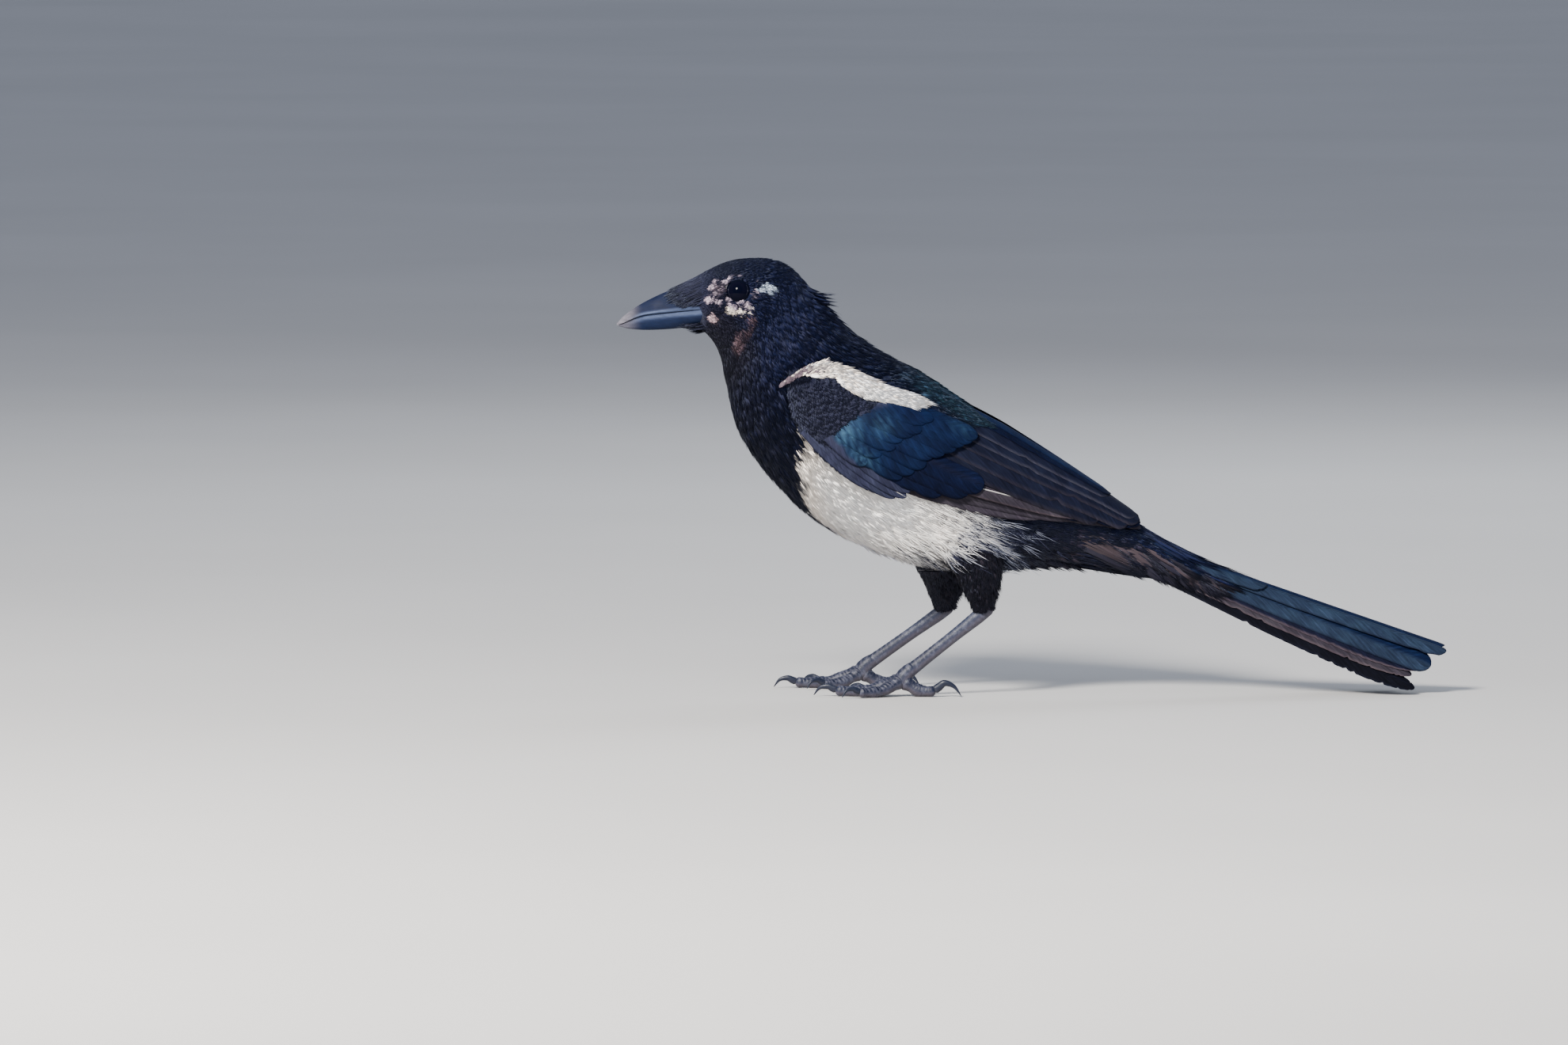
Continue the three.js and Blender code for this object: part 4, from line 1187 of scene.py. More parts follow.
    def grow(self) -> None:
        """Grows every tract of the coat."""
        for number, tract in enumerate(self.tracts):
            roots = self.roots(tract)
            if tract.stations[0] < 5:
                roots = self.clear_of_face(roots)
            piece = self.tufts.grow(tract.name, roots, tract.kind, self.black, seed=number)
            settle(piece, "pied_plumage" if 10 < tract.stations[0] < 16 else "black_plumage")
        settle(self.tufts.grow("coat_wisps", self.wisps(), "wisp", self.black, 0.6, seed=19), "pied_plumage")
        for thigh in Thigh.both():
            roots = thigh.roots(self.rng)
            piece = self.tufts.grow(f"coat_thigh_{thigh.name}", roots, "soft", self.black, seed=21)
            settle(piece, "black_plumage")


@dataclass
class Thigh:
    """A feathered thigh from the hip to the hock."""

    name: str
    joints: tuple
    radii: tuple = (11.5, 13, 11.6, 8.4, 5.2, 3.4)
    swell: float = 0.35
    length: float = 38.0
    coat_depth: float = 1.6
    rows: int = 40
    columns: int = 40
    tuft_count: int = 1640

    @staticmethod
    def both() -> tuple["Thigh", "Thigh"]:
        """The two thighs, as the legs stand."""
        return (Thigh("left", ((-30, -15.5, 74), (-24.5, -19, 58), (-21.5, -21, 37))),
                Thigh("right", ((-42, 15.5, 72), (-40.5, 19, 55), (-38.6, 21, 34.6)), swell=0.95))

    def middle(self, t: Array) -> tuple[Array, Array]:
        """The thigh's middle line and its radius at shares of its length."""
        return curve(self.joints, t), curve(self.radii, t)[..., 0]

    def point(self, t: Array, turn: Array, lift: Array = 0.0) -> Array:
        """Points on the thigh: share of its length, degrees round it and distance out."""
        t, turn, lift = floats(t, turn, lift)
        centre, radius = self.middle(t)
        ahead = unit(self.middle(t + 0.01)[0] - self.middle(t - 0.01)[0])
        beyond = np.maximum(0, t - 1)
        centre = centre + ahead * (beyond * self.length)[..., None]
        radius = np.maximum(radius * (1 + 2 * beyond) + lift, 0.4)
        side = unit(ACROSS - ahead * ahead[..., 1:2])
        up = np.cross(side, ahead)
        a = np.radians(turn)
        return centre + side * (np.cos(a) * radius)[..., None] + up * (np.sin(a) * radius * 1.05)[..., None]

    def base(self, t: Array, turn: Array) -> Array:
        """Points on the skin under the thigh's coat."""
        return self.point(t, turn, -self.coat_depth * (1 - 0.6 * t))

    def unwrap(self, t: Array, turn: Array) -> Array:
        """Places on the baking map: a strip for each thigh under the body's part."""
        start = 0.02 if self.name == "left" else 0.52
        return beside(start + 0.45 * np.minimum(t, 1), 0.015 + 0.085 * turn / 360)

    def skin(self, material: Material) -> Object:
        """The thigh's skin, to be joined to the body's."""
        t, turn = net(np.linspace(0.02, 1, self.rows), np.linspace(0, 360, self.columns + 1))
        sheet = Sheet().add_rings(self.base(t, turn), Tone.BROWN_BLACK.rgba, OFBake=self.unwrap(t, turn))
        return sheet.make(f"skin_thigh_{self.name}", material)

    def roots(self, rng: Random) -> Roots:
        """Tufts down the thigh, ending in a ragged cuff over the hock."""
        count = self.tuft_count
        first, second = scatter(count)
        t, turn = 0.18 + 0.80 * first ** 0.9, 360.0 * second
        length = rng.uniform(6, 10, count) * (1.15 - 0.5 * t)
        end = np.minimum(t + length / self.length, rng.uniform(0.98, 1.09, count))
        stand = steps(((0.2, -1), (0.34, 0), (0.55, 1.8), (0.85, 3), (1, 1.3), (1.09, 0.3)), end)
        lift = rng.normal(0.1, 0.35, count) + stand * (1 - self.swell * np.sin(np.radians(turn)))
        tip = self.point(end, turn + rng.normal(0, 9, count), lift)
        out = unit(self.point(t, turn, 1) - self.point(t, turn, 0))
        width = rng.uniform(2, 3, count)
        colour = Tone.BROWN_BLACK.rgba * rng.uniform(0.6, 1.4, count)[:, None]
        colour = np.where((rng.random(count) < 0.15)[:, None], Tone.BROWN.rgba * 0.8, colour)
        return Roots.between(self.base(t, turn), tip, out, width, width * 0.6, colour, rng,
                             self.unwrap(t, turn))


@dataclass(frozen=True)
class VaneShape:
    """The outline and detail of a long feather."""

    rows: int = 26
    thick: float = 0.14
    tip: float = 6.0
    base: float = 0.5
    shaft: float = -0.25
    camber: float = 0.3
    ridge: float = 0.14
    ragged: float = 0.02
    columns: tuple = (-1, -0.78, -0.5, -0.25, -0.09, 0, 0.09, 0.3, 0.55, 0.8, 1)

    def places(self) -> Array:
        """Columns from edge to edge, gathered round the shaft."""
        c = np.array(self.columns)
        return self.shaft + c * np.where(c > 0, 1 - self.shaft, 1 + self.shaft)

    def breadth(self, t: Array, length: float) -> Array:
        """Width of the vane along its length, as a share of the full width."""
        body = steps(((0, self.base), (0.2, 0.8), (0.45, 0.97), (0.7, 1), (1, 0.96)), t)
        end = np.clip(1 - (1 - t) * length / self.tip, 0, 1)
        return body * np.sqrt(np.maximum(0, 1 - end**2) + 0.004)


@dataclass
class Quill:
    """One long feather on a surface, from its root to its tip, both as places on that surface."""

    root: Sequence[float]
    tip: Sequence[float]
    width: float
    lift: float
    rise: float
    sink: float
    colours: tuple
    shape: VaneShape
    sink_share: float = 0.35
    paint: Optional[Callable] = None

    def lay(self, sheet: Sheet, surface: Surface, corner: tuple[float, float], cell: tuple[float, float],
            rng: Random) -> None:
        """Adds the feather to a sheet.

        Args:
            sheet: What it is added to.
            surface: Gives a point for places and a lift.
            corner: Left and bottom of its cell on the baking map.
            cell: Width and height of that cell.
            rng: Draws its wear.
        """
        shape, step = self.shape, 0.02
        c = shape.places()
        t = 1 - (1 - np.linspace(0, 1, shape.rows)) ** 1.5
        u, v = (toward(root, tip, t) for root, tip in zip(self.root, self.tip))
        here = surface(u, v, 0)
        along_u = (surface(u + step, v, 0) - here) / step
        along_v = (surface(u, v + step, 0) - here) / step
        length = float(np.sum(norm(np.diff(here, axis=0))))
        across = square_to(along_v, unit(np.gradient(here, axis=0)))
        uu, uv, vv = dot(along_u, along_u), dot(along_u, along_v), dot(along_v, along_v)
        cu, cv = dot(across, along_u), dot(across, along_v)
        bottom = uu * vv - uv * uv
        du, dv = (cu * vv - cv * uv) / bottom, (cv * uu - cu * uv) / bottom
        breadth = shape.breadth(t, length)[:, None]
        wear = []
        for seed in rng.uniform(0, 40, 2):
            worn = 1 - shape.ragged * np.abs(ripple(t * 34, seed)) * (0.4 + t)
            notched = (rng.random(shape.rows) < shape.ragged * 2) & (t > 0.25)
            wear.append(np.where(notched, worn * rng.uniform(0.8, 0.93), worn)[:, None])
        edge = np.where(c[None, :] < 0, *wear)
        reach = c[None, :] * breadth * self.width / 2 * np.where(np.abs(c[None, :]) > 0.72, edge, 1)
        lean = (c * self.rise / 2)[None, :] * np.minimum(1, breadth + 0.1)
        lift = (self.lift + self.rise / 2 - self.sink * (1 - smooth(0, self.sink_share, t)))[:, None]
        bed = lift + lean + shape.camber * (1 - c**2)[None, :] * breadth
        shaft = shape.ridge * np.exp(-((c - shape.shaft) / 0.05) ** 2)[None, :] * (1.1 - t)[:, None]
        wide = u[:, None] + du[:, None] * reach, v[:, None] + dv[:, None] * reach
        top = surface(*wide, bed + shaft)
        under = surface(*wide, bed - shape.thick * (1 - 0.6 * np.abs(c))[None, :])
        rows, columns = top.shape[:2]
        block = rows * columns
        faces = [grid(rows, columns), grid(rows, columns, block)[:, ::-1]]
        r = np.arange(rows - 1) * columns
        k = np.arange(columns - 1)
        end = (rows - 1) * columns
        for a, b in ((r, r + columns), (r + 2 * columns - 1, r + columns - 1),
                     (k + 1, k), (end + k, end + k + 1)):
            faces.append(beside(b, a, a + block, b + block))
        place = beside((t * length / 10)[:, None], c[None, :] * self.width / 20).reshape(-1, 2)
        spread = beside(t[:, None], (c[None, :] + 1) / 2).reshape(-1, 2)
        both = np.vstack([spread * [0.92, 0.44] + [0.04, start] for start in (0.03, 0.52)])
        tint = self.tints(t, c)
        if self.paint:
            tint = self.paint(*wide, tint)
        tint[..., :3] *= rng.uniform(0.85, 1.15)
        colour = tint.reshape(-1, 4)
        sheet.add(np.vstack([top.reshape(-1, 3), under.reshape(-1, 3)]), np.vstack(faces).tolist(),
                  np.vstack([colour, colour * [0.6, 0.6, 0.6, 0.3]]),
                  OFBake=np.array(corner) + np.array(cell) * both, vane=np.vstack([place, place]))

    def tints(self, t: Array, c: Array) -> Array:
        """Colours over the vane: inner web, outer web, edge and shaft."""
        inner, outer, edge, shaft = (tone.rgba for tone in self.colours)
        web = smooth(self.shape.shaft - 0.1, self.shape.shaft + 0.35, c)[None, :, None]
        tint = toward(inner, outer, web) + 0 * t[:, None, None]
        rim = (smooth(0.78, 0.98, np.abs(c))[None, :] * (0.4 + 0.6 * t[:, None]))[..., None]
        tint = tint + (edge - tint) * rim * 0.7
        stem = (np.abs(c - self.shape.shaft) < 0.03)[None, :, None] * (1 - 0.6 * t[:, None, None])
        return toward(tint, shaft, stem)


@dataclass(frozen=True)
class Tier:
    """A row of overlapping feathers, from the uppermost to the lowest."""

    count: int
    roots: tuple
    tips: tuple
    widths: tuple[float, float]
    lift: float
    rise: float
    sink: float
    colours: tuple
    shape: VaneShape
    paint: Optional[Callable] = None

    def quills(self, rng: Random) -> list[Quill]:
        """The feathers of the row, each a little different.

        Args:
            rng: Draws the differences.

        Returns:
            One quill for each feather.
        """
        made = []
        for i in range(self.count):
            share = i / max(1, self.count - 1)
            tip = curve(self.tips, share) + [rng.normal(0, 0.04), rng.normal(0, 0.5)]
            width = toward(*self.widths, share) * rng.uniform(0.95, 1.05)
            tones = self.colours[min(int(share * len(self.colours)), len(self.colours) - 1)]
            made.append(Quill(curve(self.roots, share), tip, width, self.lift, self.rise, self.sink, tones,
                              self.shape, paint=self.paint))
        return made


class Webs:
    """Inner web, outer web, edge and shaft tones that feathers of one kind share."""

    BROWN = (Tone.BROWN_BLACK, Tone.BROWN, Tone.BROWN, Tone.DUSKY)
    SHAFTED = (Tone.BROWN, Tone.BROWN, Tone.TAUPE, Tone.SHAFT)
    INKY = (Tone.BLACK, Tone.NAVY, Tone.BLACK, Tone.BLACK)
    STREAKED = (Tone.INK, Tone.INK, Tone.BROWN, Tone.BLACK)
    EDGED = (Tone.INK, Tone.INK, Tone.DUSKY, Tone.BROWN)
    NAVY = (Tone.NAVY, Tone.NAVY, Tone.BLACK, Tone.BLACK)
    BLUE = (Tone.BLUE, Tone.BLUE, Tone.BLUE, Tone.NAVY)
    SLATE = (Tone.GREY_BLACK, Tone.GREY_BLACK, Tone.BLACK, Tone.BLACK)
    SLATE_SHAFT = (Tone.GREY_BLACK, Tone.GREY_BLACK, Tone.BLACK, Tone.WHITE)
    STEEL = (Tone.STEEL, Tone.STEEL, Tone.BLACK, Tone.NAVY)
    DEEP = (Tone.BLUE, Tone.STEEL, Tone.BLACK, Tone.NAVY)
    GLOSS = (Tone.BLUE, Tone.BLUE, Tone.BLACK, Tone.NAVY)
    OLIVE = (Tone.PITCH, Tone.BLACK, Tone.TAUPE, Tone.PITCH)
    PINK = (Tone.PITCH, Tone.BROWN, Tone.TAUPE, Tone.DUSKY)
    BLACK = (Tone.PITCH, Tone.PITCH, Tone.INK, Tone.BLACK)


def panel_paint(station: Array, angle: Array, tint: Array) -> Array:
    """Lays blue over the panel of the coverts and slate in front of it, whichever feather it falls on.

    Args:
        station: Ribs from the face.
        angle: Degrees from the back.
        tint: The feather's own colours.

    Returns:
        The new colours.
    """
    front = steps(((62, 11.75), (74, 11.35), (86, 11.05), (94, 11.2), (98, 12.1), (104, 13.4)), angle)
    inside = smooth(-0.12, 0.1, station - front)[..., None]
    cloud = 0.5 + 0.5 * np.sin(station * 6 + angle * 0.21) * np.sin(angle * 0.33 - station * 2)
    sea = Mark.strongest(((11.35, 88, 0.32, 8, 1.2), (11.95, 94, 0.4, 4, 0.8), (11.95, 75, 0.25, 7, 0.5),
                          (13.3, 48, 0.3, 5, 0.35)), station, angle)
    sea = sea * (0.6 + 0.5 * np.sin(station * 31 + angle))
    blue = toward(Tone.NAVY.rgba, Tone.BLUE.rgba, (0.2 + 0.8 * cloud)[..., None])
    blue = toward(blue, Tone.TEAL.rgba, np.clip(sea, 0, 1)[..., None])
    return toward(Tone.GREY_BLACK.rgba, toward(blue, tint, 0.2), inside)


COVERT = VaneShape(rows=16, tip=6.5, base=0.75, camber=0.4, ridge=0.05,
                   columns=(-1, -0.75, -0.4, 0, 0.4, 0.75, 1))
LONG_COVERT = VaneShape(rows=20, tip=11.0, base=0.7, camber=0.3, ridge=0.12,
                        columns=(-1, -0.75, -0.4, -0.06, 0, 0.06, 0.4, 0.75, 1), shaft=0.0)
FLIGHT = VaneShape(rows=40, tip=7.0, base=0.5)
POINTED = VaneShape(rows=40, tip=22.0, base=0.55, shaft=-0.35)
WORN = VaneShape(rows=90, tip=30.0, base=0.55, ragged=0.05, shaft=-0.3)


@dataclass
class Wing:
    """A folded wing: its pad, its rows of feathers, and the soft slate, white and glossy ones over them."""

    name: str
    tufts: TuftTree
    finish: Material
    soft: Material
    outline: tuple = ((9.3, 90), (9.6, 76), (10.3, 64), (11.4, 52), (12.7, 39), (13.2, 50), (13.3, 70),
                      (13.1, 88), (12.8, 101), (11.6, 104), (10.4, 101))
    centre: tuple = (11.5, 76)
    degrees_a_station: float = 24.0
    thickness: float = 4.3
    rim: float = 0.4
    bluntness: float = 0.55
    cells_across: int = 10
    seeds: dict = field(default_factory=lambda: {"left": 31, "right": 47})
    scapular_count: int = 1300
    lesser_count: int = 1500
    mantle_count: int = 780
    thickness: float = 4.3
    rim: float = 0.4
    bluntness: float = 0.55
    band_top: tuple = ((8.98, 98), (9.15, 87), (9.3, 76), (9.5, 68), (9.8, 59), (10.42, 50), (10.98, 48.5),
                       (11.42, 47.5), (11.98, 45.5), (12.3, 45))
    band_low: tuple = ((9.02, 99), (9.22, 89), (9.4, 81), (9.65, 76), (9.91, 69.5), (10.3, 68), (10.75, 67.5),
                       (11.2, 65), (11.6, 61.5), (12, 57))
    tiers: dict = field(default_factory=lambda: {
        "primaries": Tier(
            6, ((12.3, 82), (12.2, 99)), ((18.9, 38), (18.2, 55), (16.3, 79)), (9, 7.5), 0.5, 1, 0.6,
            (Webs.BROWN,), POINTED),
        "outer_shaft": Tier(
            1, ((12.6, 87), (12.6, 87)), ((17.3, 66), (17.3, 66)), (6, 6), 2.4, 0.6, 1.6,
            (Webs.SHAFTED,), POINTED),
        "secondaries": Tier(
            4, ((12.4, 66), (12.4, 81)), ((18.8, 30), (18.5, 42), (17.2, 62)), (11, 10), 1.5, 1.2, 0.8,
            (Webs.INKY,), FLIGHT),
        "tertials": Tier(
            5, ((12.3, 40), (12.4, 68)), ((17.3, 13), (18.5, 17), (18.8, 26), (18.4, 38), (17.6, 52)), (14, 15),
            2.1, 1.2, 0.9, (Webs.EDGED, Webs.STREAKED, Webs.STREAKED), FLIGHT),
        "inner": Tier(
            2, ((12.6, 24), (12.5, 31)), ((17.2, 4), (17.5, 9)), (9, 10), 2.5, 0.9, 1.6,
            (Webs.GLOSS, Webs.NAVY), FLIGHT),
        "primary_coverts": Tier(
            3, ((12.2, 79), (12.1, 94)), ((14.5, 76.5), (14.35, 82), (13.9, 88)), (10, 9), 3.4, 0.8, 1,
            (Webs.NAVY,), COVERT),
        "alula": Tier(
            4, ((10.6, 95), (10.5, 103)), ((13.3, 96), (13.3, 100.5), (12.7, 105)), (6.5, 5.5), 3.6, 0.7, 1.4,
            (Webs.SLATE, Webs.SLATE_SHAFT, Webs.SLATE), LONG_COVERT),
        "greater_coverts": Tier(
            9, ((12, 57), (11.6, 93)), ((13.7, 46), (13.5, 60), (13.25, 76), (13, 92)), (8.5, 7.5), 4.1, 0.7,
            1.2, (Webs.BLUE,), COVERT, panel_paint),
        "median_coverts": Tier(
            8, ((11.2, 66), (10.9, 95)), ((12.75, 54), (12.55, 72), (12.2, 95)), (7.5, 7), 4.6, 0.6, 1.2,
            (Webs.BLUE,), COVERT, panel_paint),
    })

    def __post_init__(self) -> None:
        self.side = SIDES[self.name]
        self.rng = np.random.default_rng(self.seeds[self.name])

    def surface(self, station: Array, angle: Array, lift: Array) -> Array:
        """The body surface on this wing's side."""
        return FORM.point(station, np.asarray(angle) * self.side, lift)

    def rim_at(self, turn: Array) -> Array:
        """Places on the pad's closed outline, from 0 to its number of corners."""
        corners = len(self.outline)
        closed = np.array(self.outline[-1:] + self.outline + self.outline[:2], float)
        return catmull(closed, turn % corners + 1)

    def pad_height(self, station: Array, angle: Array) -> Array:
        """How far the pad stands off the body at each place, 0 outside it."""
        outline = self.rim_at(np.linspace(0, len(self.outline), 240, endpoint=False))
        scale = np.array([self.degrees_a_station, 1])
        off = (outline - self.centre) * scale
        bearing = np.arctan2(off[:, 1], off[:, 0])
        order = np.argsort(bearing)
        here = (beside(station, angle) - self.centre) * scale
        turn = np.arctan2(here[..., 1], here[..., 0])
        edge = np.interp(turn, bearing[order], norm(off)[order], period=2 * np.pi)
        share = np.minimum(1, norm(here) / edge)
        dome = (1 - share ** (2 / self.bluntness)) ** (self.bluntness / 2)
        return dome * self.thick_at(station) + self.rim * (share < 1)

    def thick_at(self, station: Array) -> Array:
        """The pad's thickness, less towards the front so that it runs out on the shoulder."""
        return self.thickness * (0.3 + 0.7 * smooth(9.3, 10.9, station))

    def add_pad(self, sheet: Sheet) -> None:
        """The pad that the coverts lie on."""
        share, turn = net(np.linspace(0, 1, 26)[1:-1], np.linspace(0, len(self.outline), 65))
        face = signed_power(np.cos(share * np.pi), self.bluntness)
        reach = np.sin(share * np.pi) ** self.bluntness
        place = toward(np.array(self.centre), self.rim_at(turn), reach[..., None])
        s, a = place[..., 0], place[..., 1]
        bed = self.thick_at(s) * (0.35 + 0.5 * smooth(9.4, 11, s))
        height = np.where(face > 0, face * bed, face * 0.9) + self.rim * smooth(9.2, 10.4, s)
        spread = beside(share * 0.2 + 0.79, turn / len(self.outline) * 0.18 + 0.81)
        sheet.add_rings(self.surface(s, a, height), Tone.BLACK.rgba, OFBake=spread, vane=spread)

    def feathers(self) -> Object:
        """Every flight feather and covert of the wing in one piece."""
        sheet = Sheet()
        self.add_pad(sheet)
        quills = [quill for tier in self.tiers.values() for quill in tier.quills(self.rng)]
        across = self.cells_across
        size = 0.99 / across
        for number, quill in enumerate(quills):
            corner = (0.005 + size * (number % across), 0.005 + size * (number // across))
            quill.lay(sheet, self.surface, corner, (size * 0.96, size * 0.96), self.rng)
        return sheet.make(f"feathers_wing_{self.name}", self.finish)

    def stand(self, station: Array, angle: Array, floor: float) -> Array:
        """How far the soft feathers' bed stands off the body: the pad's height, or a floor that is more."""
        bed = floor * smooth(14, 27, angle) * smooth(10.8, 12.2, station)
        return np.maximum(self.pad_height(station, angle), bed)

    def soft_roots(self, place: Array, course: Array, length: Array, width: Array, under: Array, over: Array,
                   colour: Array, floor: float = 0.0) -> Roots:
        """Roots of soft feathers on the pad.

        Args:
            place: Stations and angles of the roots.
            course: The way that each feather lies, as stations and angles.
            length: Its length.
            width: Its width.
            under: How far its root lies under the surface.
            over: How far its tip stands over the surface.
            colour: Its colour.
            floor: The least that the bed stands off the body away from the back.

        Returns:
            The roots.
        """
        s, a = place.T
        along, around, out = FORM.frame_at(s, a * self.side)
        around = around * self.side
        way = unit(along * course[:, :1] + around * course[:, 1:])
        ds = dot(way, unit(along)) * length / norm(along)
        da = dot(way, unit(around)) * length / norm(around)
        root = self.surface(s, a, self.stand(s, a, floor) - under)
        tip = self.surface(s + ds, a + da, self.stand(s + ds, a + da, floor) + over)
        patch = FORM.unwrap(s, (a * self.side) % 360)
        return Roots.between(root, tip, out, width, width * 0.7, colour, self.rng, patch)

    def scapulars(self) -> Object:
        """The long silky white feathers along the top of the wing."""
        rng, count = self.rng, self.scapular_count
        upper, lower = np.array(self.band_top, float), np.array(self.band_low, float)
        at = rng.random(count) * (len(upper) - 1)
        high, low = catmull(upper, at), catmull(lower, at)
        height = rng.uniform(0, 0.8, count)[:, None]
        middle = (upper + lower) / 2
        scale = [self.degrees_a_station, 1]
        course = unit((catmull(middle, at + 0.6) - catmull(middle, at - 0.2)) * scale) / scale
        course = course + (high - low) * (0.022 * (height - 0.35))
        course = course + rng.normal(0, 1, (count, 2)) * [0.004, 0.1]
        grown = smooth(0.5, 4, at)
        length = rng.uniform(6, 9.5, count) * (0.5 + 0.6 * grown)
        width = rng.uniform(1.9, 2.8, count) * (0.6 + 0.5 * grown)
        dusky = ((1 - grown) > rng.random(count) * 1.1)[:, None]
        colour = np.where(dusky, Tone.TAUPE.rgba * 1.5, Tone.WHITE.rgba)
        cream = rng.random(count) < 0.2 + 0.6 * smooth(7, 3, at)
        colour = np.where(cream[:, None] & ~dusky, Tone.CREAM.rgba, colour)
        colour[:, :3] *= rng.uniform(0.93, 1.03, count)[:, None]
        over = rng.uniform(0.8, 1.6, count)
        roots = self.soft_roots(toward(low, high, height), course, length, width, 0.3, over, colour)
        roots = roots.pick((grown > 0.3) | (rng.random(count) < 0.5))
        return self.tufts.grow(f"scapulars_{self.name}", roots, "silk", self.soft, seed=33)

    def lesser(self) -> Object:
        """Small close slate feathers over the front of the wing and down its lower edge."""
        rng, count = self.rng, self.lesser_count
        top = ((8.8, 96), (9.1, 90), (9.3, 84), (9.91, 70), (10.49, 68.5), (10.92, 67.5), (11.4, 64.5),
               (11.74, 61), (12.4, 55))
        low = ((9.2, 89), (9.5, 94), (9.92, 99), (10.48, 104), (11.04, 107), (11.56, 108), (12.6, 107.5))
        s, a = rng.uniform(8.8, 12.5, count * 3), rng.uniform(56, 108, count * 3)
        front = steps(((55, 12), (62, 11.7), (74, 11.3), (86, 10.95), (95, 11), (98, 11.4), (102, 12.5)), a)
        keep = (a > steps(top, s) - steps(((9.2, 14), (9.9, 9), (10.6, 5)), s)) & (a < steps(low, s))
        keep &= s < front
        s, a = s[keep][:count], a[keep][:count]
        number, below = len(s), a - steps(top, s)
        drop = steps(((9.3, 16), (10.2, 9), (11, 3), (12.5, 0)), s) * smooth(60, 95, a)
        course = beside(0.8, drop - 7 * smooth(95, 70, a) + rng.normal(0, 2.5, number))
        colour = Tone.GREY_BLACK.rgba * rng.uniform(0.5, 0.8, number)[:, None]
        colour = colour + (Tone.BLACK.rgba - colour) * (1 - smooth(0, 7, below))[:, None] * 0.8
        hidden = smooth(2, -4, below)
        under = np.maximum(0.7 + 0.8 * hidden, steps(((8.9, 2.6), (9.7, 0.7)), s))
        over = rng.uniform(0.3, 0.6, number) * (1 - 0.8 * hidden)
        roots = self.soft_roots(beside(s, a), course, rng.uniform(5, 7, number),
                                rng.uniform(2.6, 3.5, number), under, over, colour)
        return self.tufts.grow(f"lesser_coverts_{self.name}", roots, "covert", self.soft, 0.12, seed=35)

    def mantle(self) -> Object:
        """Glossy green and navy feathers from the back over the roots of the inner wing feathers."""
        rng, count = self.rng, self.mantle_count
        s, a = rng.uniform(10.7, 13.9, count * 2), rng.uniform(12, 52, count * 2)
        keep = a < steps(((10.7, 45), (11.3, 46), (12.2, 45), (12.7, 48), (13.4, 44)), s)
        keep &= s < steps(((14, 13.9), (28, 13.8), (34, 13.4), (48, 13.1)), a)
        s, a = s[keep][:count], a[keep][:count]
        number = len(s)
        course = beside(0.9, rng.normal(-2, 2, number))
        draw = rng.random(number)[:, None]
        green = (smooth(47, 34, a) * smooth(11, 12.2, s))[:, None]
        colour = Tone.NAVY.rgba + (Tone.GREEN.rgba * 1.1 - Tone.NAVY.rgba) * green * (0.35 + 0.65 * draw)
        colour = np.where((rng.random(number) < 0.2)[:, None] & (green > 0.4), Tone.TEAL.rgba * 0.7, colour)
        roots = self.soft_roots(beside(s, a), course, rng.uniform(7.5, 10, number),
                                rng.uniform(2.4, 3.4, number), 0.8 + 2.2 * smooth(11.6, 10.9, s),
                                rng.uniform(0.5, 1, number) * smooth(10.4, 11.6, s), colour, 2.9)
        return self.tufts.grow(f"mantle_{self.name}", roots, "soft", self.soft, seed=36)

    def build(self) -> None:
        """Builds the wing's pieces and gives them their places in the frame."""
        settle(self.feathers(), "wing_feathers", f"wing_{self.name}")
        settle(self.scapulars(), "pied_plumage")
        settle(self.lesser(), "wing_feathers")
        settle(self.mantle(), "wing_feathers")


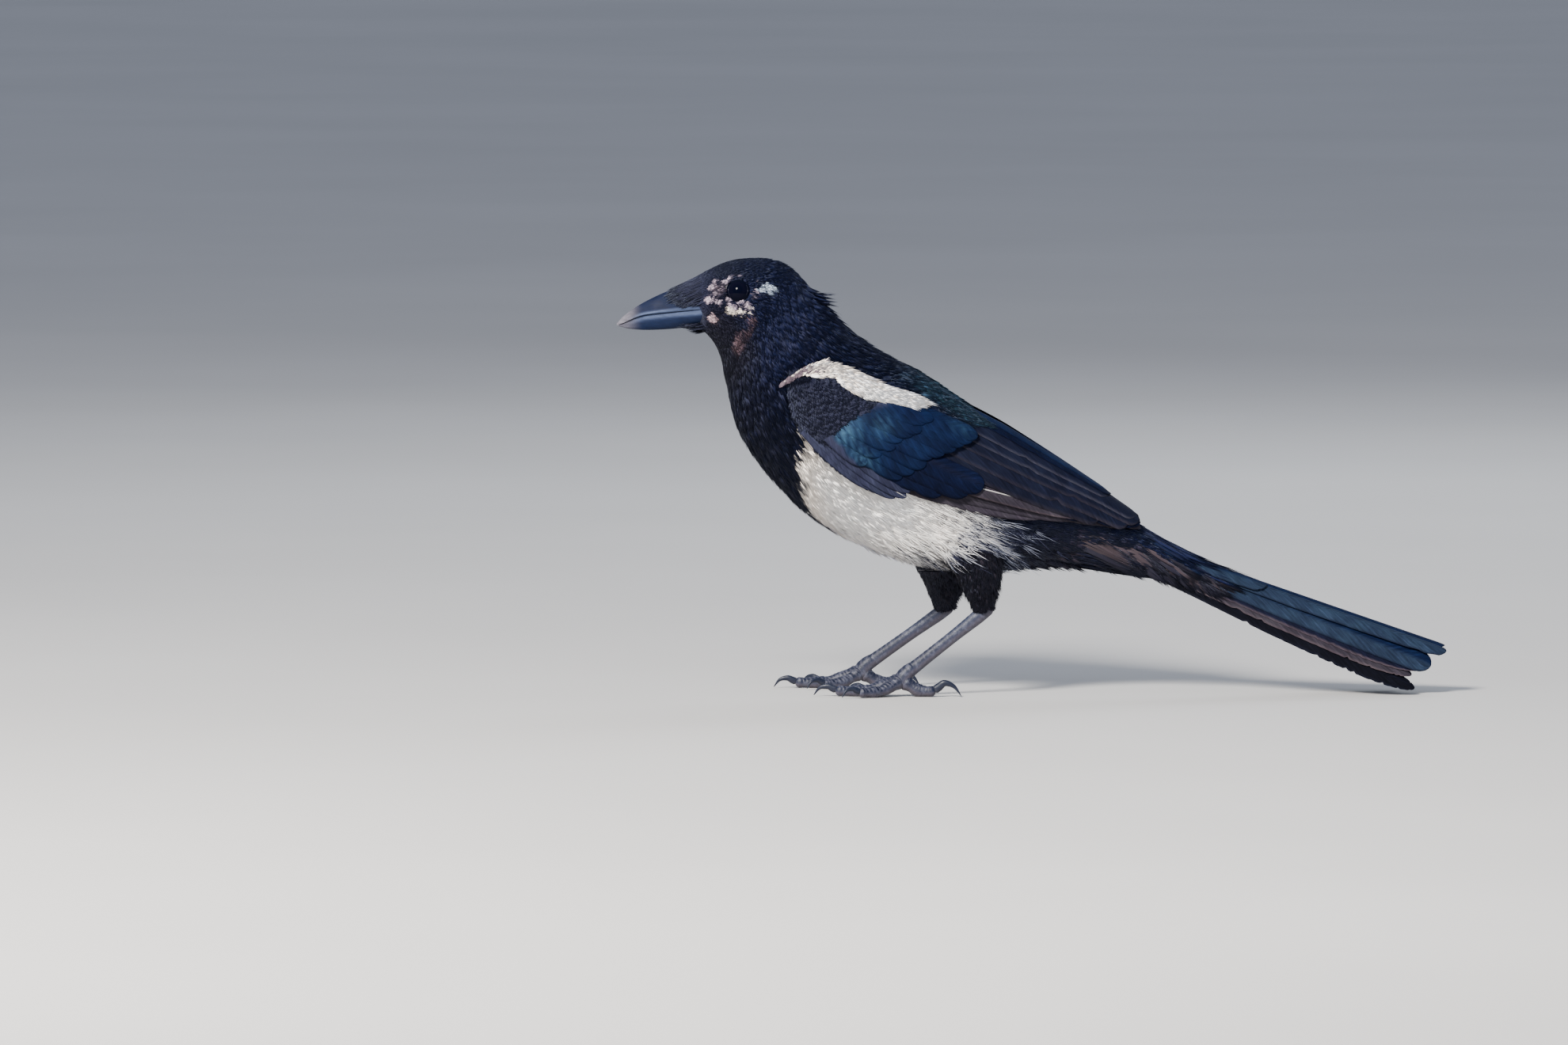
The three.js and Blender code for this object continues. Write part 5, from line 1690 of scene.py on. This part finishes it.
@dataclass
class Tail:
    """The closed tail: feathers over a narrow roof, the middle ones on top, and the soft ones at its base."""

    tufts: TuftTree
    finish: Material
    soft: Material
    ridge_from: tuple = (56, 65.4)
    ridge_to: tuple = (183.2, 21.4)
    radius: tuple = (6.5, 8.5)
    slope: float = 64.0
    lengths: dict = field(default_factory=lambda: {
        "left": (51, 135.7, 131, 126, 124, 127), "right": (134.5, 133, 129, 125, 122, 121)})
    firsts: dict = field(default_factory=lambda: {"left": 4.0, "right": 0.5})
    roots: tuple = (0, 1.2, 4.6, 6.6, 8.6, 11)
    tips: tuple = (0, 2, 11.5, 15.5, 18.8, 24.5)
    widths: tuple = (11, 11, 12, 11, 11, 12)
    start: float = 6.0
    feather_seed: int = 59
    covert_seed: int = 61
    covert_count: int = 1560

    def __post_init__(self) -> None:
        self.base = np.array([self.ridge_from[0], 0, self.ridge_from[1]])
        run = np.array([self.ridge_to[0], 0, self.ridge_to[1]]) - self.base
        self.length = np.linalg.norm(run)
        self.ahead = run / self.length

    def surface(self, along: Array, over: Array, lift: Array) -> Array:
        """Points on the tail's roof.

        Args:
            along: Distance from the tail's base.
            over: Distance over the roof from its ridge, the left side positive.
            lift: Distance out.

        Returns:
            One point for each place.
        """
        along, over, lift = floats(along, over, lift)
        up = np.array([-self.ahead[2], 0, self.ahead[0]])
        radius = self.radius[0] + (self.radius[1] - self.radius[0]) * along / self.length
        bend = np.minimum(np.abs(over) / radius, math.radians(self.slope))
        hang = np.abs(over) - bend * radius
        rise = (radius + lift) * np.cos(bend) - radius - hang * np.sin(bend)
        out = (radius + lift) * np.sin(bend) + hang * np.cos(bend)
        place = self.base + self.ahead * along[..., None] + up * rise[..., None]
        place[..., 1] = -np.sign(over) * out
        return place

    def feathers(self) -> Object:
        """The twelve tail feathers."""
        rng = np.random.default_rng(self.feather_seed)
        sheet = Sheet()
        tones = (Webs.DEEP, Webs.STEEL, Webs.DEEP, Webs.OLIVE, Webs.PINK, Webs.BLACK)
        shapes = (VaneShape(rows=34, tip=5.5, base=0.6, shaft=0.0), FLIGHT, FLIGHT, WORN, WORN, WORN)
        number = 0
        for name, side in SIDES.items():
            for i, length in enumerate(self.lengths[name]):
                root, tip = (self.firsts[name] + reach[i] for reach in (self.roots, self.tips))
                top = 0.9 if i == 0 and side > 0 else 0.0
                quill = Quill((self.start, root), (length, tip), self.widths[i], -1.6 + top, 1.9, 1.4,
                              tones[i], shapes[i], 0.2)
                corner = (0.005 + 0.245 * (number % 4), 0.005 + 0.33 * (number // 4))
                quill.lay(sheet, lambda u, v, h, s=side: self.surface(u, v * s, h), corner, (0.235, 0.32), rng)
                number += 1
        return sheet.make("feathers_tail", self.finish)

    def core(self) -> Object:
        """The flesh of the tail's base, hidden by the feathers."""
        s, a = net(np.linspace(19.6, FORM.last + 0.29, 24), np.linspace(0, 360, 49))
        sheet = Sheet().add_rings(FORM.point(s, a, -1.4), Tone.BLACK.rgba, OFBake=FORM.unwrap(s, a))
        return sheet.make("tail_root", self.soft)

    def coverts(self) -> Object:
        """Long loose feathers over and under the tail's base."""
        rng, count = np.random.default_rng(self.covert_seed), self.covert_count
        a, s = rng.uniform(-180, 180, count), rng.uniform(17.4, 20.9, count)
        side = np.abs(a)
        _, _, out = FORM.frame_at(s, a)
        root = FORM.point(s, a, -1.6)
        length = steps(((0, 30), (60, 30), (85, 24), (115, 22), (140, 17), (180, 15)), side)
        length = length * rng.uniform(0.7, 1.1, count)
        reach = (root[:, 0] - self.ridge_from[0]) / self.ahead[0] + length
        over = np.where(side < 115, side / 115 * 22, 26 - (side - 115) / 65 * 20)
        roof = self.surface(np.maximum(reach, 0), over * np.sign(a), rng.uniform(0, 0.9, count))
        under = FORM.point(np.minimum(s + 1.6, FORM.last), a, 0.5) + self.ahead * (length * 0.5)[:, None]
        tip = np.where((side < 115)[:, None], roof, under)
        width = rng.uniform(1.3, 2.3, count)
        shade = rng.uniform(0.6, 1.5, count)[:, None]
        colour = np.where((side < 62)[:, None], Tone.BLUE_BLACK.rgba * shade, Tone.BROWN_BLACK.rgba * shade)
        sheen = ((side < 62) & (rng.random(count) < 0.25))[:, None]
        colour = np.where(sheen, Tone.BLUE.rgba * 0.8, colour)
        pink = ((side > 62) & (side < 104) & (rng.random(count) < 0.34))[:, None]
        colour = np.where(pink, Tone.TAUPE.rgba * shade * 0.38, colour)
        colour = np.where((side > 116)[:, None], Tone.BLACK.rgba, colour)
        roots = Roots.between(root, tip, out, width, width * 0.6, colour, rng, FORM.unwrap(s, a % 360))
        return self.tufts.grow("coverts_tail", roots, "covert", self.soft, seed=37)

    def build(self) -> None:
        """Builds the tail's pieces and gives them their places in the frame."""
        settle(self.feathers(), "tail_feathers", "tail")
        settle(self.core(), "tail_feathers")
        settle(self.coverts(), "tail_feathers")


@dataclass
class Bill:
    """The two halves of the bill, with ridge, cutting edges and nostrils, and the bristles at its base."""

    tufts: TuftTree
    soft: Material
    upper: tuple = ((-183.2, 163.4, 162.4, 0.4), (-179.6, 167.1, 163.9, 1.35), (-172, 172.3, 167, 2.8),
                    (-161, 177.6, 168.5, 4.9), (-150, 181.2, 169.6, 7.6), (-140.5, 182.8, 170.5, 10.4))
    lower: tuple = ((-182.2, 162.7, 162.1, 0.4), (-177.4, 164.3, 161, 1.2), (-170, 167, 160.5, 2.4),
                    (-160, 168.2, 160.9, 4.5), (-149, 169.3, 162, 7.7), (-141, 170, 163, 10.6))
    rows: int = 110
    columns: int = 72
    gap: float = 0.14
    nostril: tuple = (-155.6, 175)
    base: tuple = (0.0036, 0.0068, 0.024, 0)
    under: tuple = (0.006, 0.011, 0.034, 0)
    # Painted highlight: a lighter blue band along the cutting edges of both halves.
    band: tuple = (0.09, 0.118, 0.21, 0)
    pale: tuple = (0.15, 0.14, 0.165, 0)
    seed: int = 71
    bristle_count: int = 1700

    def mouth(self, x: Array) -> Array:
        """Height of the upper half's cutting edge at each x."""
        rows = catmull(self.upper, np.linspace(0, len(self.upper) - 1, 60))
        return np.interp(x, rows[:, 0], rows[:, 2])

    def half(self, name: str, stations: tuple, is_upper: bool, material: Material) -> Object:
        """One half of the bill as an arch over the mouth plane, the plane itself a little raised inside.

        Args:
            name: The piece's name.
            stations: Its x, ridge or mouth height, lower height and half width.
            is_upper: Whether it is the upper half.
            material: The horn.

        Returns:
            The new object.
        """
        t, turn = net(np.linspace(0, 1, self.rows) ** 1.3, np.linspace(0, 2 * np.pi, self.columns + 1))
        x, over, under, half = np.moveaxis(curve(stations, t), -1, 0)
        plane = self.mouth(x) - (0 if is_upper else self.gap)
        crest, flatten_by = (over, 0.22) if is_upper else (under, 0.1)
        arch, flat = np.maximum(np.sin(turn), 0), np.sin(turn) < 0
        y = half * (1 - flatten_by * arch) * np.cos(turn)
        inside = np.where(flat, 0.6 * np.sin(turn) ** 2 * np.minimum(1, half / 3), 0)
        z = toward(plane, crest, arch**0.92) + inside
        if is_upper:
            pit = np.exp(-((x - self.nostril[0]) / 2.2) ** 2 - ((z - self.nostril[1]) / 0.9) ** 2)
            y = y * (1 - 0.2 * pit)
        else:
            groove = np.exp(-((z - plane + 1.5) / 0.35) ** 2) * smooth(-176, -168, x) * ~flat
            y = y * (0.97 - 0.03 * groove)
        # A painted highlight band runs along each half's cutting edge; the pale tip is the horn's own wear.
        tint, middle, reach, highlight_strength, wear = (
            (self.base, 0.45, 0.65, 1, 0.85) if is_upper else (self.under, 1.1, 1, 0.75, 0.6))
        edge_highlight = np.exp(-(((np.abs(z - plane) - middle) / reach) ** 2)) * smooth(-182, -168, x) * highlight_strength
        colour = toward(np.array(tint), np.array(self.band), edge_highlight[..., None])
        colour = toward(colour, np.array(self.pale), (smooth(-171.5, -180.5, x) * wear)[..., None])
        bake = beside(t * 0.94 + 0.03, turn / 6.2832 * 0.94 + 0.03)
        return Sheet().add_rings(beside(x, y, z), colour, OFBake=bake).make(name, material)

    def bristles(self) -> Object:
        """Stiff close feathers from the forehead over the nostrils, and a short tuft under the chin."""
        rng, count = np.random.default_rng(self.seed), self.bristle_count
        a, s = rng.uniform(-92, 92, count), rng.uniform(-0.05, 1.5, count)
        side = np.abs(a)
        root = FORM.point(s, a, -0.5)
        reach = rng.uniform(7, 12.5, count) * (1 - 0.35 * np.abs(side - 45) / 60)
        reach = reach * (1 - 0.45 * smooth(70, 92, side))
        x = root[:, 0] - reach
        shell = catmull(self.upper, np.interp(x, [row[0] for row in self.upper], range(len(self.upper))))
        turn = np.radians(90 - side * 0.92)
        y = shell[:, 3] * (1 - 0.22 * np.maximum(0, np.sin(turn))) * np.cos(turn)
        z = toward(shell[:, 2], shell[:, 1], np.maximum(np.sin(turn), 0.04) ** 0.92)
        centre = beside(x, 0, (shell[:, 1] + shell[:, 2]) / 2)
        on_bill = beside(x, -np.sign(a) * y, z)
        tip = on_bill + unit(on_bill - centre) * rng.uniform(0.15, 0.9, count)[:, None]
        chin = rng.random(count) < 0.13
        chin_s, chin_a = rng.uniform(0.4, 1.8, count), 180 + rng.uniform(-38, 38, count)
        chin_root = FORM.point(chin_s, chin_a, -0.5)
        run = beside(-rng.uniform(4, 8, count), rng.normal(0, 0.5, count), -rng.uniform(0.2, 1.4, count))
        root = np.where(chin[:, None], chin_root, root)
        tip = np.where(chin[:, None], chin_root + run, tip)
        _, _, out = FORM.frame_at(np.where(chin, chin_s, s), np.where(chin, chin_a, a))
        width = rng.uniform(0.45, 0.8, count)
        colour = Tone.GREY_BLACK.rgba * rng.uniform(0.3, 1, count)[:, None]
        roots = Roots.between(root, tip, out, width, width * 1.2, colour, rng, FORM.unwrap(s, a % 360))
        return self.tufts.grow("bristles", roots, "bristle", self.soft, roll=0.8, seed=39)

    def build(self) -> None:
        """Builds the bill's pieces and gives them their places in the frame."""
        horn = HornFinish("bill_horn", roughness=0.6, specular=0.07, bloom_share=0.03).make()
        settle(self.half("bill_upper_horn", self.upper, True, horn), "horn", "bill_upper")
        settle(self.half("bill_lower_horn", self.lower, False, horn), "horn", "bill_lower")
        settle(self.bristles(), "black_plumage")


@dataclass
class Eye:
    """An eye: a wet ball sunk in the head, the lids round it and bare scurfy skin beside it."""

    name: str
    radius: float = 6.8
    sunk: float = 5.5
    lid: float = 4.0
    clear = 4.3
    lid_clear: float = 4.9
    seeds: dict = field(default_factory=lambda: {"left": 83, "right": 89})
    tries: int = 9000

    @staticmethod
    def place(side: float) -> tuple[Array, Array]:
        """The middle of the lids' opening and the way that the eye faces."""
        station, angle = (np.array([v]) for v in MARKINGS.eye)
        _, _, out = FORM.frame_at(station, angle)
        flip = np.array([1, side, 1])
        return FORM.point(station, angle)[0] * flip, out[0] * flip

    def axes(self) -> tuple[Array, Array, Array, Array]:
        """The opening's middle, the way out, and two ways across it."""
        rim, out = self.place(SIDES[self.name])
        ahead = unit(np.cross(out, UP))
        return rim, out, ahead, np.cross(ahead, out)

    def ball(self, material: Material) -> Object:
        """The ball with its clear front, faint brown iris and dark pupil."""
        rim, out, ahead, up = self.axes()
        p, q = net(np.linspace(0, np.pi, 48)[1:-1], np.linspace(0, 2 * np.pi, 61))
        bulge = self.radius + 0.28 * np.exp(-((p / 0.5) ** 2))
        ring = (out * np.cos(p)[..., None] + (ahead * np.cos(q)[..., None] + up * np.sin(q)[..., None])
                * np.sin(p)[..., None])
        iris = smooth(0.3, 0.36, p) * (1 - smooth(0.5, 0.62, p))
        dark, brown = np.array([0.0006, 0.001, 0.005, 1]), np.array([0.0014, 0.0014, 0.006, 1])
        bake = 0.5 + 0.46 * (p / np.pi)[..., None] * beside(np.cos(q), np.sin(q))
        sheet = Sheet().add_rings(rim - out * self.sunk + ring * bulge[..., None],
                                  toward(dark, brown, iris[..., None]), OFBake=bake)
        return sheet.make(f"eyeball_{self.name}", material)

    def lids(self, material: Material) -> Object:
        """The lids as a thin ring with a beaded edge, a little almond shaped."""
        rim, out, ahead, up = self.axes()
        p, q = net(np.linspace(0, 2 * np.pi, 145), np.linspace(0, 2 * np.pi, 13))
        thick = 0.22 * (1 + 0.14 * np.abs(np.sin(p * 19))) * (1 + 0.3 * np.abs(np.cos(p)))
        wide = self.lid + 0.25 * np.abs(np.cos(p)) ** 3 + thick * np.cos(q)
        tall = self.lid * 0.985 + thick * np.cos(q)
        place = (rim + ahead * (wide * np.cos(p))[..., None] + up * (tall * np.sin(p))[..., None]
                 + out * (thick * 0.8 * np.sin(q) - 0.3)[..., None])
        mottle = 0.5 + 0.5 * np.sin(p * 5 + 1) * np.sin(p * 11 + q)
        grey, pale = np.array([0.0008, 0.0012, 0.005, 0]), np.array([0.05, 0.05, 0.07, 0])
        colour = toward(grey, pale, (smooth(0.7, 0.98, mottle) * 0.6)[..., None])
        bake = beside(p / 6.3 * 0.98 + 0.01, q / 6.3 * 0.9 + 0.05)
        sheet = Sheet().add(place.reshape(-1, 3), grid(*p.shape).tolist(), colour.reshape(-1, 4),
                            OFBake=bake.reshape(-1, 2))
        return sheet.make(f"lids_{self.name}", material)

    def scurf(self, tufts: TuftTree, material: Material) -> Object:
        """Pale sheaths of new feathers that dot the bare skin round the eye."""
        side, rng = SIDES[self.name], np.random.default_rng(self.seeds[self.name])
        s, a = rng.uniform(0.9, 6.2, self.tries), rng.uniform(40, 135, self.tries)
        keep = rng.random(self.tries) < MARKINGS.bare(s, a) ** 1.6 * 0.20
        s, a = s[keep], a[keep] * side
        along, around, out = FORM.frame_at(s, a)
        count = len(s)
        lie = unit(unit(along) + unit(around) * rng.normal(0, 0.5, count)[:, None] + out * 0.12)
        root = FORM.point(s, a, -0.6)
        width = rng.uniform(0.45, 0.9, count)
        size = beside(width, rng.uniform(1.2, 2.2, count), width * 0.9)
        colour = np.minimum(MARKINGS.colour(s, a, rng) * rng.uniform(0.7, 1.4, count)[:, None], 0.85)
        clear = norm(root - self.place(side)[0]) > self.lid_clear
        kind = rng.integers(0, KINDS, count)
        roots = Roots(root, lie, out, size, colour, kind, FORM.unwrap(s, a % 360)).pick(clear)
        return tufts.grow(f"scurf_{self.name}", roots, "bristle", material, roll=0.5, seed=41)

    def build(self, tufts: TuftTree, wet: Material, skin: Material) -> None:
        """Builds the eye's pieces and gives them their places in the frame."""
        settle(self.ball(wet), "eye", f"eye_{self.name}")
        settle(self.lids(skin), "black_plumage")
        settle(self.scurf(tufts, skin), "black_plumage")


@dataclass
class Leg:
    """A bare leg: the scaled tarsus, four toes with scutes and pads, and their claws."""

    name: str
    heel: tuple
    toe_base: tuple
    tarsus_radii: tuple = (2.8, 3.1, 2.9, 2.7, 2.7, 2.75, 2.9, 3.2)
    plate: float = 1.7
    shank_plate: float = 2.4
    claw_plate: float = 99.0  # longer than a claw, so that claws are plain
    toe_height: float = 2.35
    toes: dict = field(default_factory=lambda: {
        "hind": (15, 172, 2, 2.65, 11.5, 1.75, 3.4),
        "inner": (19, -27, 2, 2.4, 8.4, 1.35, 1.5),
        "middle": (29.5, -2, 3, 2.55, 9.6, 1.5, 1.7),
        "outer": (21.5, 27, 3, 2.4, 8.4, 1.35, 1.5),
    })
    slate: tuple = (0.017, 0.023, 0.047, 0)
    navy: tuple = (0.0035, 0.0055, 0.016, 0)
    pink: tuple = (0.066, 0.056, 0.068, 0)
    seed: int = 97

    def __post_init__(self) -> None:
        self.top, self.end = np.array(self.heel, float), np.array(self.toe_base, float)
        self.rng = np.random.default_rng(self.seed)

    @staticmethod
    def both() -> tuple["Leg", "Leg"]:
        """The two legs, as they stand."""
        return (Leg("left", (-21.5, -21, 37), (-57.4, -23.5, 8.6)),
                Leg("right", (-38.6, 21, 34.6), (-75, 23.5, 8.6)))

    @staticmethod
    def limb(path: Array, radius: Array, height: Array, across: Array, plate: float, relief: float,
             columns: int) -> tuple[Array, Array, Array]:
        """Rings along a path, round at both ends, with overlapping plates over the upper side.

        Args:
            path: The middle line, a point a row.
            radius: Half width at each point.
            height: Half height at each point.
            across: The way across the limb.
            plate: Length of a plate.
            relief: How far each plate rises, over the whole limb or at each point.
            columns: Faces round each ring.

        Returns:
            The rings, how far each point lies towards the upper side, and how deep it lies between plates.
        """
        ahead = unit(np.gradient(path, axis=0))
        side = square_to(across, ahead)
        up = np.cross(side, ahead)
        up = up * np.where(up[:, 2:3] < 0, -1, 1)
        gone = np.concatenate([[0], np.cumsum(norm(np.diff(path, axis=0)))])
        near = np.minimum(gone, gone[-1] - gone) / radius
        cap = np.sqrt(1 - (1 - np.clip(near, 0.003, 1)) ** 2)
        turn = np.linspace(0, 2 * np.pi, columns + 1)
        top = smooth(-0.2, 0.4, np.sin(turn))[None, :]
        slant = 0.9 * np.cos(turn)[None, :] * radius[:, None]
        phase = ((gone[:, None] + slant * 0.5 + 0.25 * ripple(gone / 3, 2)[:, None]) / plate) % 1.0
        joint = 1 - smooth(0.04, 0.3, phase) * (1 - smooth(0.88, 0.98, phase))
        rise = relief * (phase - 0.6) * top * (1 - joint)
        wide, tall = (radius * cap)[:, None] + rise, (height * cap)[:, None] + rise
        rings = (path[:, None, :] + side[:, None, :] * (np.cos(turn)[None, :] * wide)[..., None]
                 + up[:, None, :] * (np.sin(turn)[None, :] * tall)[..., None])
        rings[..., 2] = np.maximum(rings[..., 2], 0)
        return rings, np.broadcast_to(np.sin(turn), rings.shape[:2]), joint * top

    def add_limb(self, sheet: Sheet, rings: Array, colour: Array, cell: int) -> Sheet:
        """Adds rings as a closed limb with its own strip of the baking map."""
        r, c = net(np.linspace(0.02, 0.98, rings.shape[0]), np.linspace(0, 0.09, rings.shape[1]))
        return sheet.add_rings(rings, colour, OFBake=beside(r, c + 0.01 + 0.098 * cell))

    def add_scaly(self, sheet: Sheet, path: Array, wide: Array, tall: Array, across: Array, plate: float,
                  relief: float, columns: int, scaly: Array, cell: int) -> Sheet:
        """Adds a limb with dark plates, lighter gaps, and pinkish sides and underside.

        Args:
            sheet: What it is added to.
            path: The middle line, a point a row.
            wide: Half width at each point.
            tall: Half height at each point.
            across: The way across the limb.
            plate: Length of a plate.
            relief: How far each plate rises.
            columns: Faces round each ring.
            scaly: How dark the plates are.
            cell: Its strip of the baking map.

        Returns:
            The sheet.
        """
        rings, up, joint = self.limb(path, wide, tall, across, plate, relief, columns)
        slate, navy, pink = (np.array(tint) for tint in (self.slate, self.navy, self.pink))
        colour = slate + (pink - slate) * (1 - smooth(-0.6, 0.3, up))[..., None] * 0.8
        colour = toward(colour, navy, (smooth(-0.25, 0.35, up) * (1 - joint) * scaly)[..., None])
        colour = toward(colour, pink * 0.8, (joint * scaly * 0.5)[..., None])
        return self.add_limb(sheet, rings, colour * self.rng.uniform(0.9, 1.1), cell)

    def way(self, turn: float) -> Array:
        """The way a toe points along the ground."""
        heading = math.radians(180 + SIDES[self.name] * turn)
        return np.array([math.cos(heading), math.sin(heading), 0])

    def tarsus(self, material: Material) -> Object:
        """The shank with its slanting front plates."""
        t = eased(190)
        path = self.top + (self.end - self.top) * (-0.1 + 1.1 * t)[:, None]
        radius = curve(self.tarsus_radii, t)[:, 0]
        scaly = (0.35 + 0.5 * smooth(0.35, 0.7, t))[:, None]
        sheet = self.add_scaly(Sheet(), path, radius * 0.84, radius, ACROSS, self.shank_plate, 0.12, 44, scaly,
                                0)
        return sheet.make(f"tarsus_skin_{self.name}", material)

    def foot(self, material: Material) -> Object:
        """The four toes, flat where they bear, and the ankle over their roots."""
        sheet = Sheet()
        low = self.toe_height
        for number, (length, turn, pads, radius, *_) in enumerate(self.toes.values()):
            t = eased(110)
            heights = steps(((0, 7.2), (0.22, 5.2), (0.46, low + 0.4), (0.75, low), (1, low + 0.2)), t)
            path = self.end * [1, 1, 0] + self.way(turn) * (length * t)[:, None]
            path[:, 2] = np.convolve(np.pad(heights, 7, "edge"), np.ones(15) / 15, "valid")
            swell = 0.22 * np.cos(t * pads * 2 * np.pi)
            wide = radius * (1.1 - 0.24 * t + 0.38 * smooth(0.35, 0, t)) + swell
            self.add_scaly(sheet, path, wide, wide * 1.04, np.cross(UP, self.way(turn)), self.plate, 0.3, 36,
                           0.9, number)
        t = eased(60)
        marks = np.array([*(self.top + (self.end - self.top) * share for share in (0.82, 0.96)),
                          self.end * [1, 1, 0] + [-1.6, 0, 4.2]])
        wide = steps(((0, 2.9), (0.5, 3.4), (1, 4.1)), t)
        self.add_scaly(sheet, curve(marks, t), wide * 0.92, wide, ACROSS, self.shank_plate, 0.14, 36, 0.85,
                       len(self.toes))
        return sheet.make(f"foot_skin_{self.name}", material)

    def claw(self, toe: str, material: Material) -> Object:
        """A curved claw, deep at its root and sharp at its tip."""
        length, turn, _, _, claw, radius, rise = self.toes[toe]
        t = np.linspace(0, 1, 48)
        high = self.toe_height + 0.4
        marks = ((-0.08, high), (0.12, high + 0.45 * rise), (0.36, high + rise), (0.72, high + rise * 0.55),
                 (1, 0.45))
        line = curve(marks, t)
        path = self.end * [1, 1, 0] + self.way(turn) * (length - 0.1 + claw * line[:, :1])
        path[:, 2] = line[:, 1]
        wide = curve((radius, radius * 0.95, radius * 0.76, radius * 0.45, 0.12), t)[:, 0]
        across = np.cross(UP, self.way(turn))
        rings, up, _ = self.limb(path, wide * 0.85, wide * 1.1, across, self.claw_plate, 0, 24)
        share = 0.4 * (1 - smooth(0, 0.25, t))[:, None] + 0.25 * smooth(0.3, -0.5, up)
        dark, pale = np.array([0.007, 0.01, 0.022, 0]), np.array([0.05, 0.05, 0.066, 0])
        sheet = self.add_limb(Sheet(), rings, toward(dark, pale, share[..., None]), 0)
        return sheet.make(f"claw_horn_{self.name}_{toe}", material)

    def build(self, skin: Material, horn: Material) -> None:
        """Builds the leg's pieces and gives them their places in the frame."""
        settle(self.tarsus(skin), "leg_skin", f"tarsus_{self.name}")
        settle(self.foot(skin), "leg_skin", f"foot_{self.name}")
        for toe in self.toes:
            settle(self.claw(toe, horn), "claw", f"claw_{self.name}_{toe}")


@dataclass
class Studio:
    """The pale floor, the soft lights and the camera at the photograph's angle."""

    lens: float = 300.0
    sensor: float = 36.0
    distance: float = 5775.0
    elevation: float = 4.0
    aim: tuple = (-109.375, 0, 75.25)
    lit: tuple = (-20, 0, 90)
    floor_size: float = 80000.0
    sky: tuple = (0.72, 0.8, 1)
    sky_strength: float = 0.62
    lights: dict = field(default_factory=lambda: {
        "key": ((-900, -1500, 1400), 600, 170, (1, 0.955, 0.89)),
        "fill": ((1300, -1300, 500), 1100, 16, (0.86, 0.92, 1)),
        "rim": ((500, 1500, 1300), 900, 26, (0.9, 0.95, 1)),
    })

    def hang(self, name: str, data: bpy.types.ID, place: Vector, way: Vector) -> Object:
        """Sets a camera or a light at a place in metres, looking along a way."""
        made = bpy.data.objects.new(name, data)
        made.location = place
        made.rotation_euler = way.to_track_quat("-Z", "Y").to_euler()
        bpy.context.scene.collection.objects.link(made)
        return made

    def camera(self) -> None:
        """The camera, far off with a long lens, a little above the bird."""
        lift = math.radians(self.elevation)
        back = Vector((0, -math.cos(lift), math.sin(lift)))
        data = bpy.data.cameras.new("camera")
        data.lens, data.sensor_width, data.sensor_fit = self.lens, self.sensor, "HORIZONTAL"
        data.clip_start, data.clip_end = 0.1, 200.0
        place = Vector(self.aim) * MM + back * self.distance * MM
        bpy.context.scene.camera = self.hang("camera", data, place, -back)

    def floor(self) -> None:
        """A wide pale floor."""
        half = self.floor_size / 2
        corners = np.array([[-half, -half, 0], [half, -half, 0], [half, half, 0], [-half, half, 0]])
        sheet = Sheet().add(corners, [[0, 1, 2, 3]], Tone.WHITE.rgba)
        sheet.make("floor", FloorFinish("floor", roughness=0.8).make())

    def light(self) -> None:
        """Three large soft lights and an even sky."""
        for name, (spot, size, power, colour) in self.lights.items():
            data = bpy.data.lights.new(name, "AREA")
            data.shape, data.size, data.energy, data.color = "DISK", size * MM, power, colour
            place = Vector(spot) * MM
            made = self.hang(name, data, place, Vector(self.lit) * MM - place)
            made.visible_glossy = name == "key"
        world = bpy.data.worlds.new("sky")
        world.use_nodes = True
        NodeKit(world.node_tree).give(world.node_tree.nodes["Background"], {
            0: (*self.sky, 1), 1: self.sky_strength})
        bpy.context.scene.world = world

    def build(self) -> None:
        """Sets up camera, floor and light."""
        self.camera()
        self.floor()
        self.light()


def main() -> None:
    """Builds the bird piece by piece."""
    logging.basicConfig(level=logging.INFO, format="%(name)s %(message)s")
    Studio().build()
    tufts = TuftTree(np.random.default_rng(5))
    coat = Coat(tufts)
    coat.skin()
    coat.grow()
    vanes = VaneFinish("flight_feathers", roughness=0.62, specular=0.05).make()
    for name in SIDES:
        Wing(name, tufts, vanes, coat.black).build()
    Tail(tufts, vanes, coat.black).build()
    Bill(tufts, coat.black).build()
    wet = EyeFinish("wet_eye", roughness=0.05, specular=0.05).make()
    lid_skin = SkinFinish("lid_skin", roughness=0.7, specular=0.04, blotch=(0.12, 0.11, 0.12, 1),
                          blotch_share=0.05).make()
    for name in SIDES:
        Eye(name).build(tufts, wet, lid_skin)
    scales = SkinFinish("leg_scales", roughness=0.5, specular=0.25, blotch=(0.07, 0.074, 0.105, 1),
                        blotch_share=0.5, grain=1300.0).make()
    claw_horn = HornFinish("claw_horn", roughness=0.4, specular=0.2, coat=0.04, bloom_share=0.03).make()
    for leg in Leg.both():
        leg.build(scales, claw_horn)


if __name__ == "__main__":
    main()
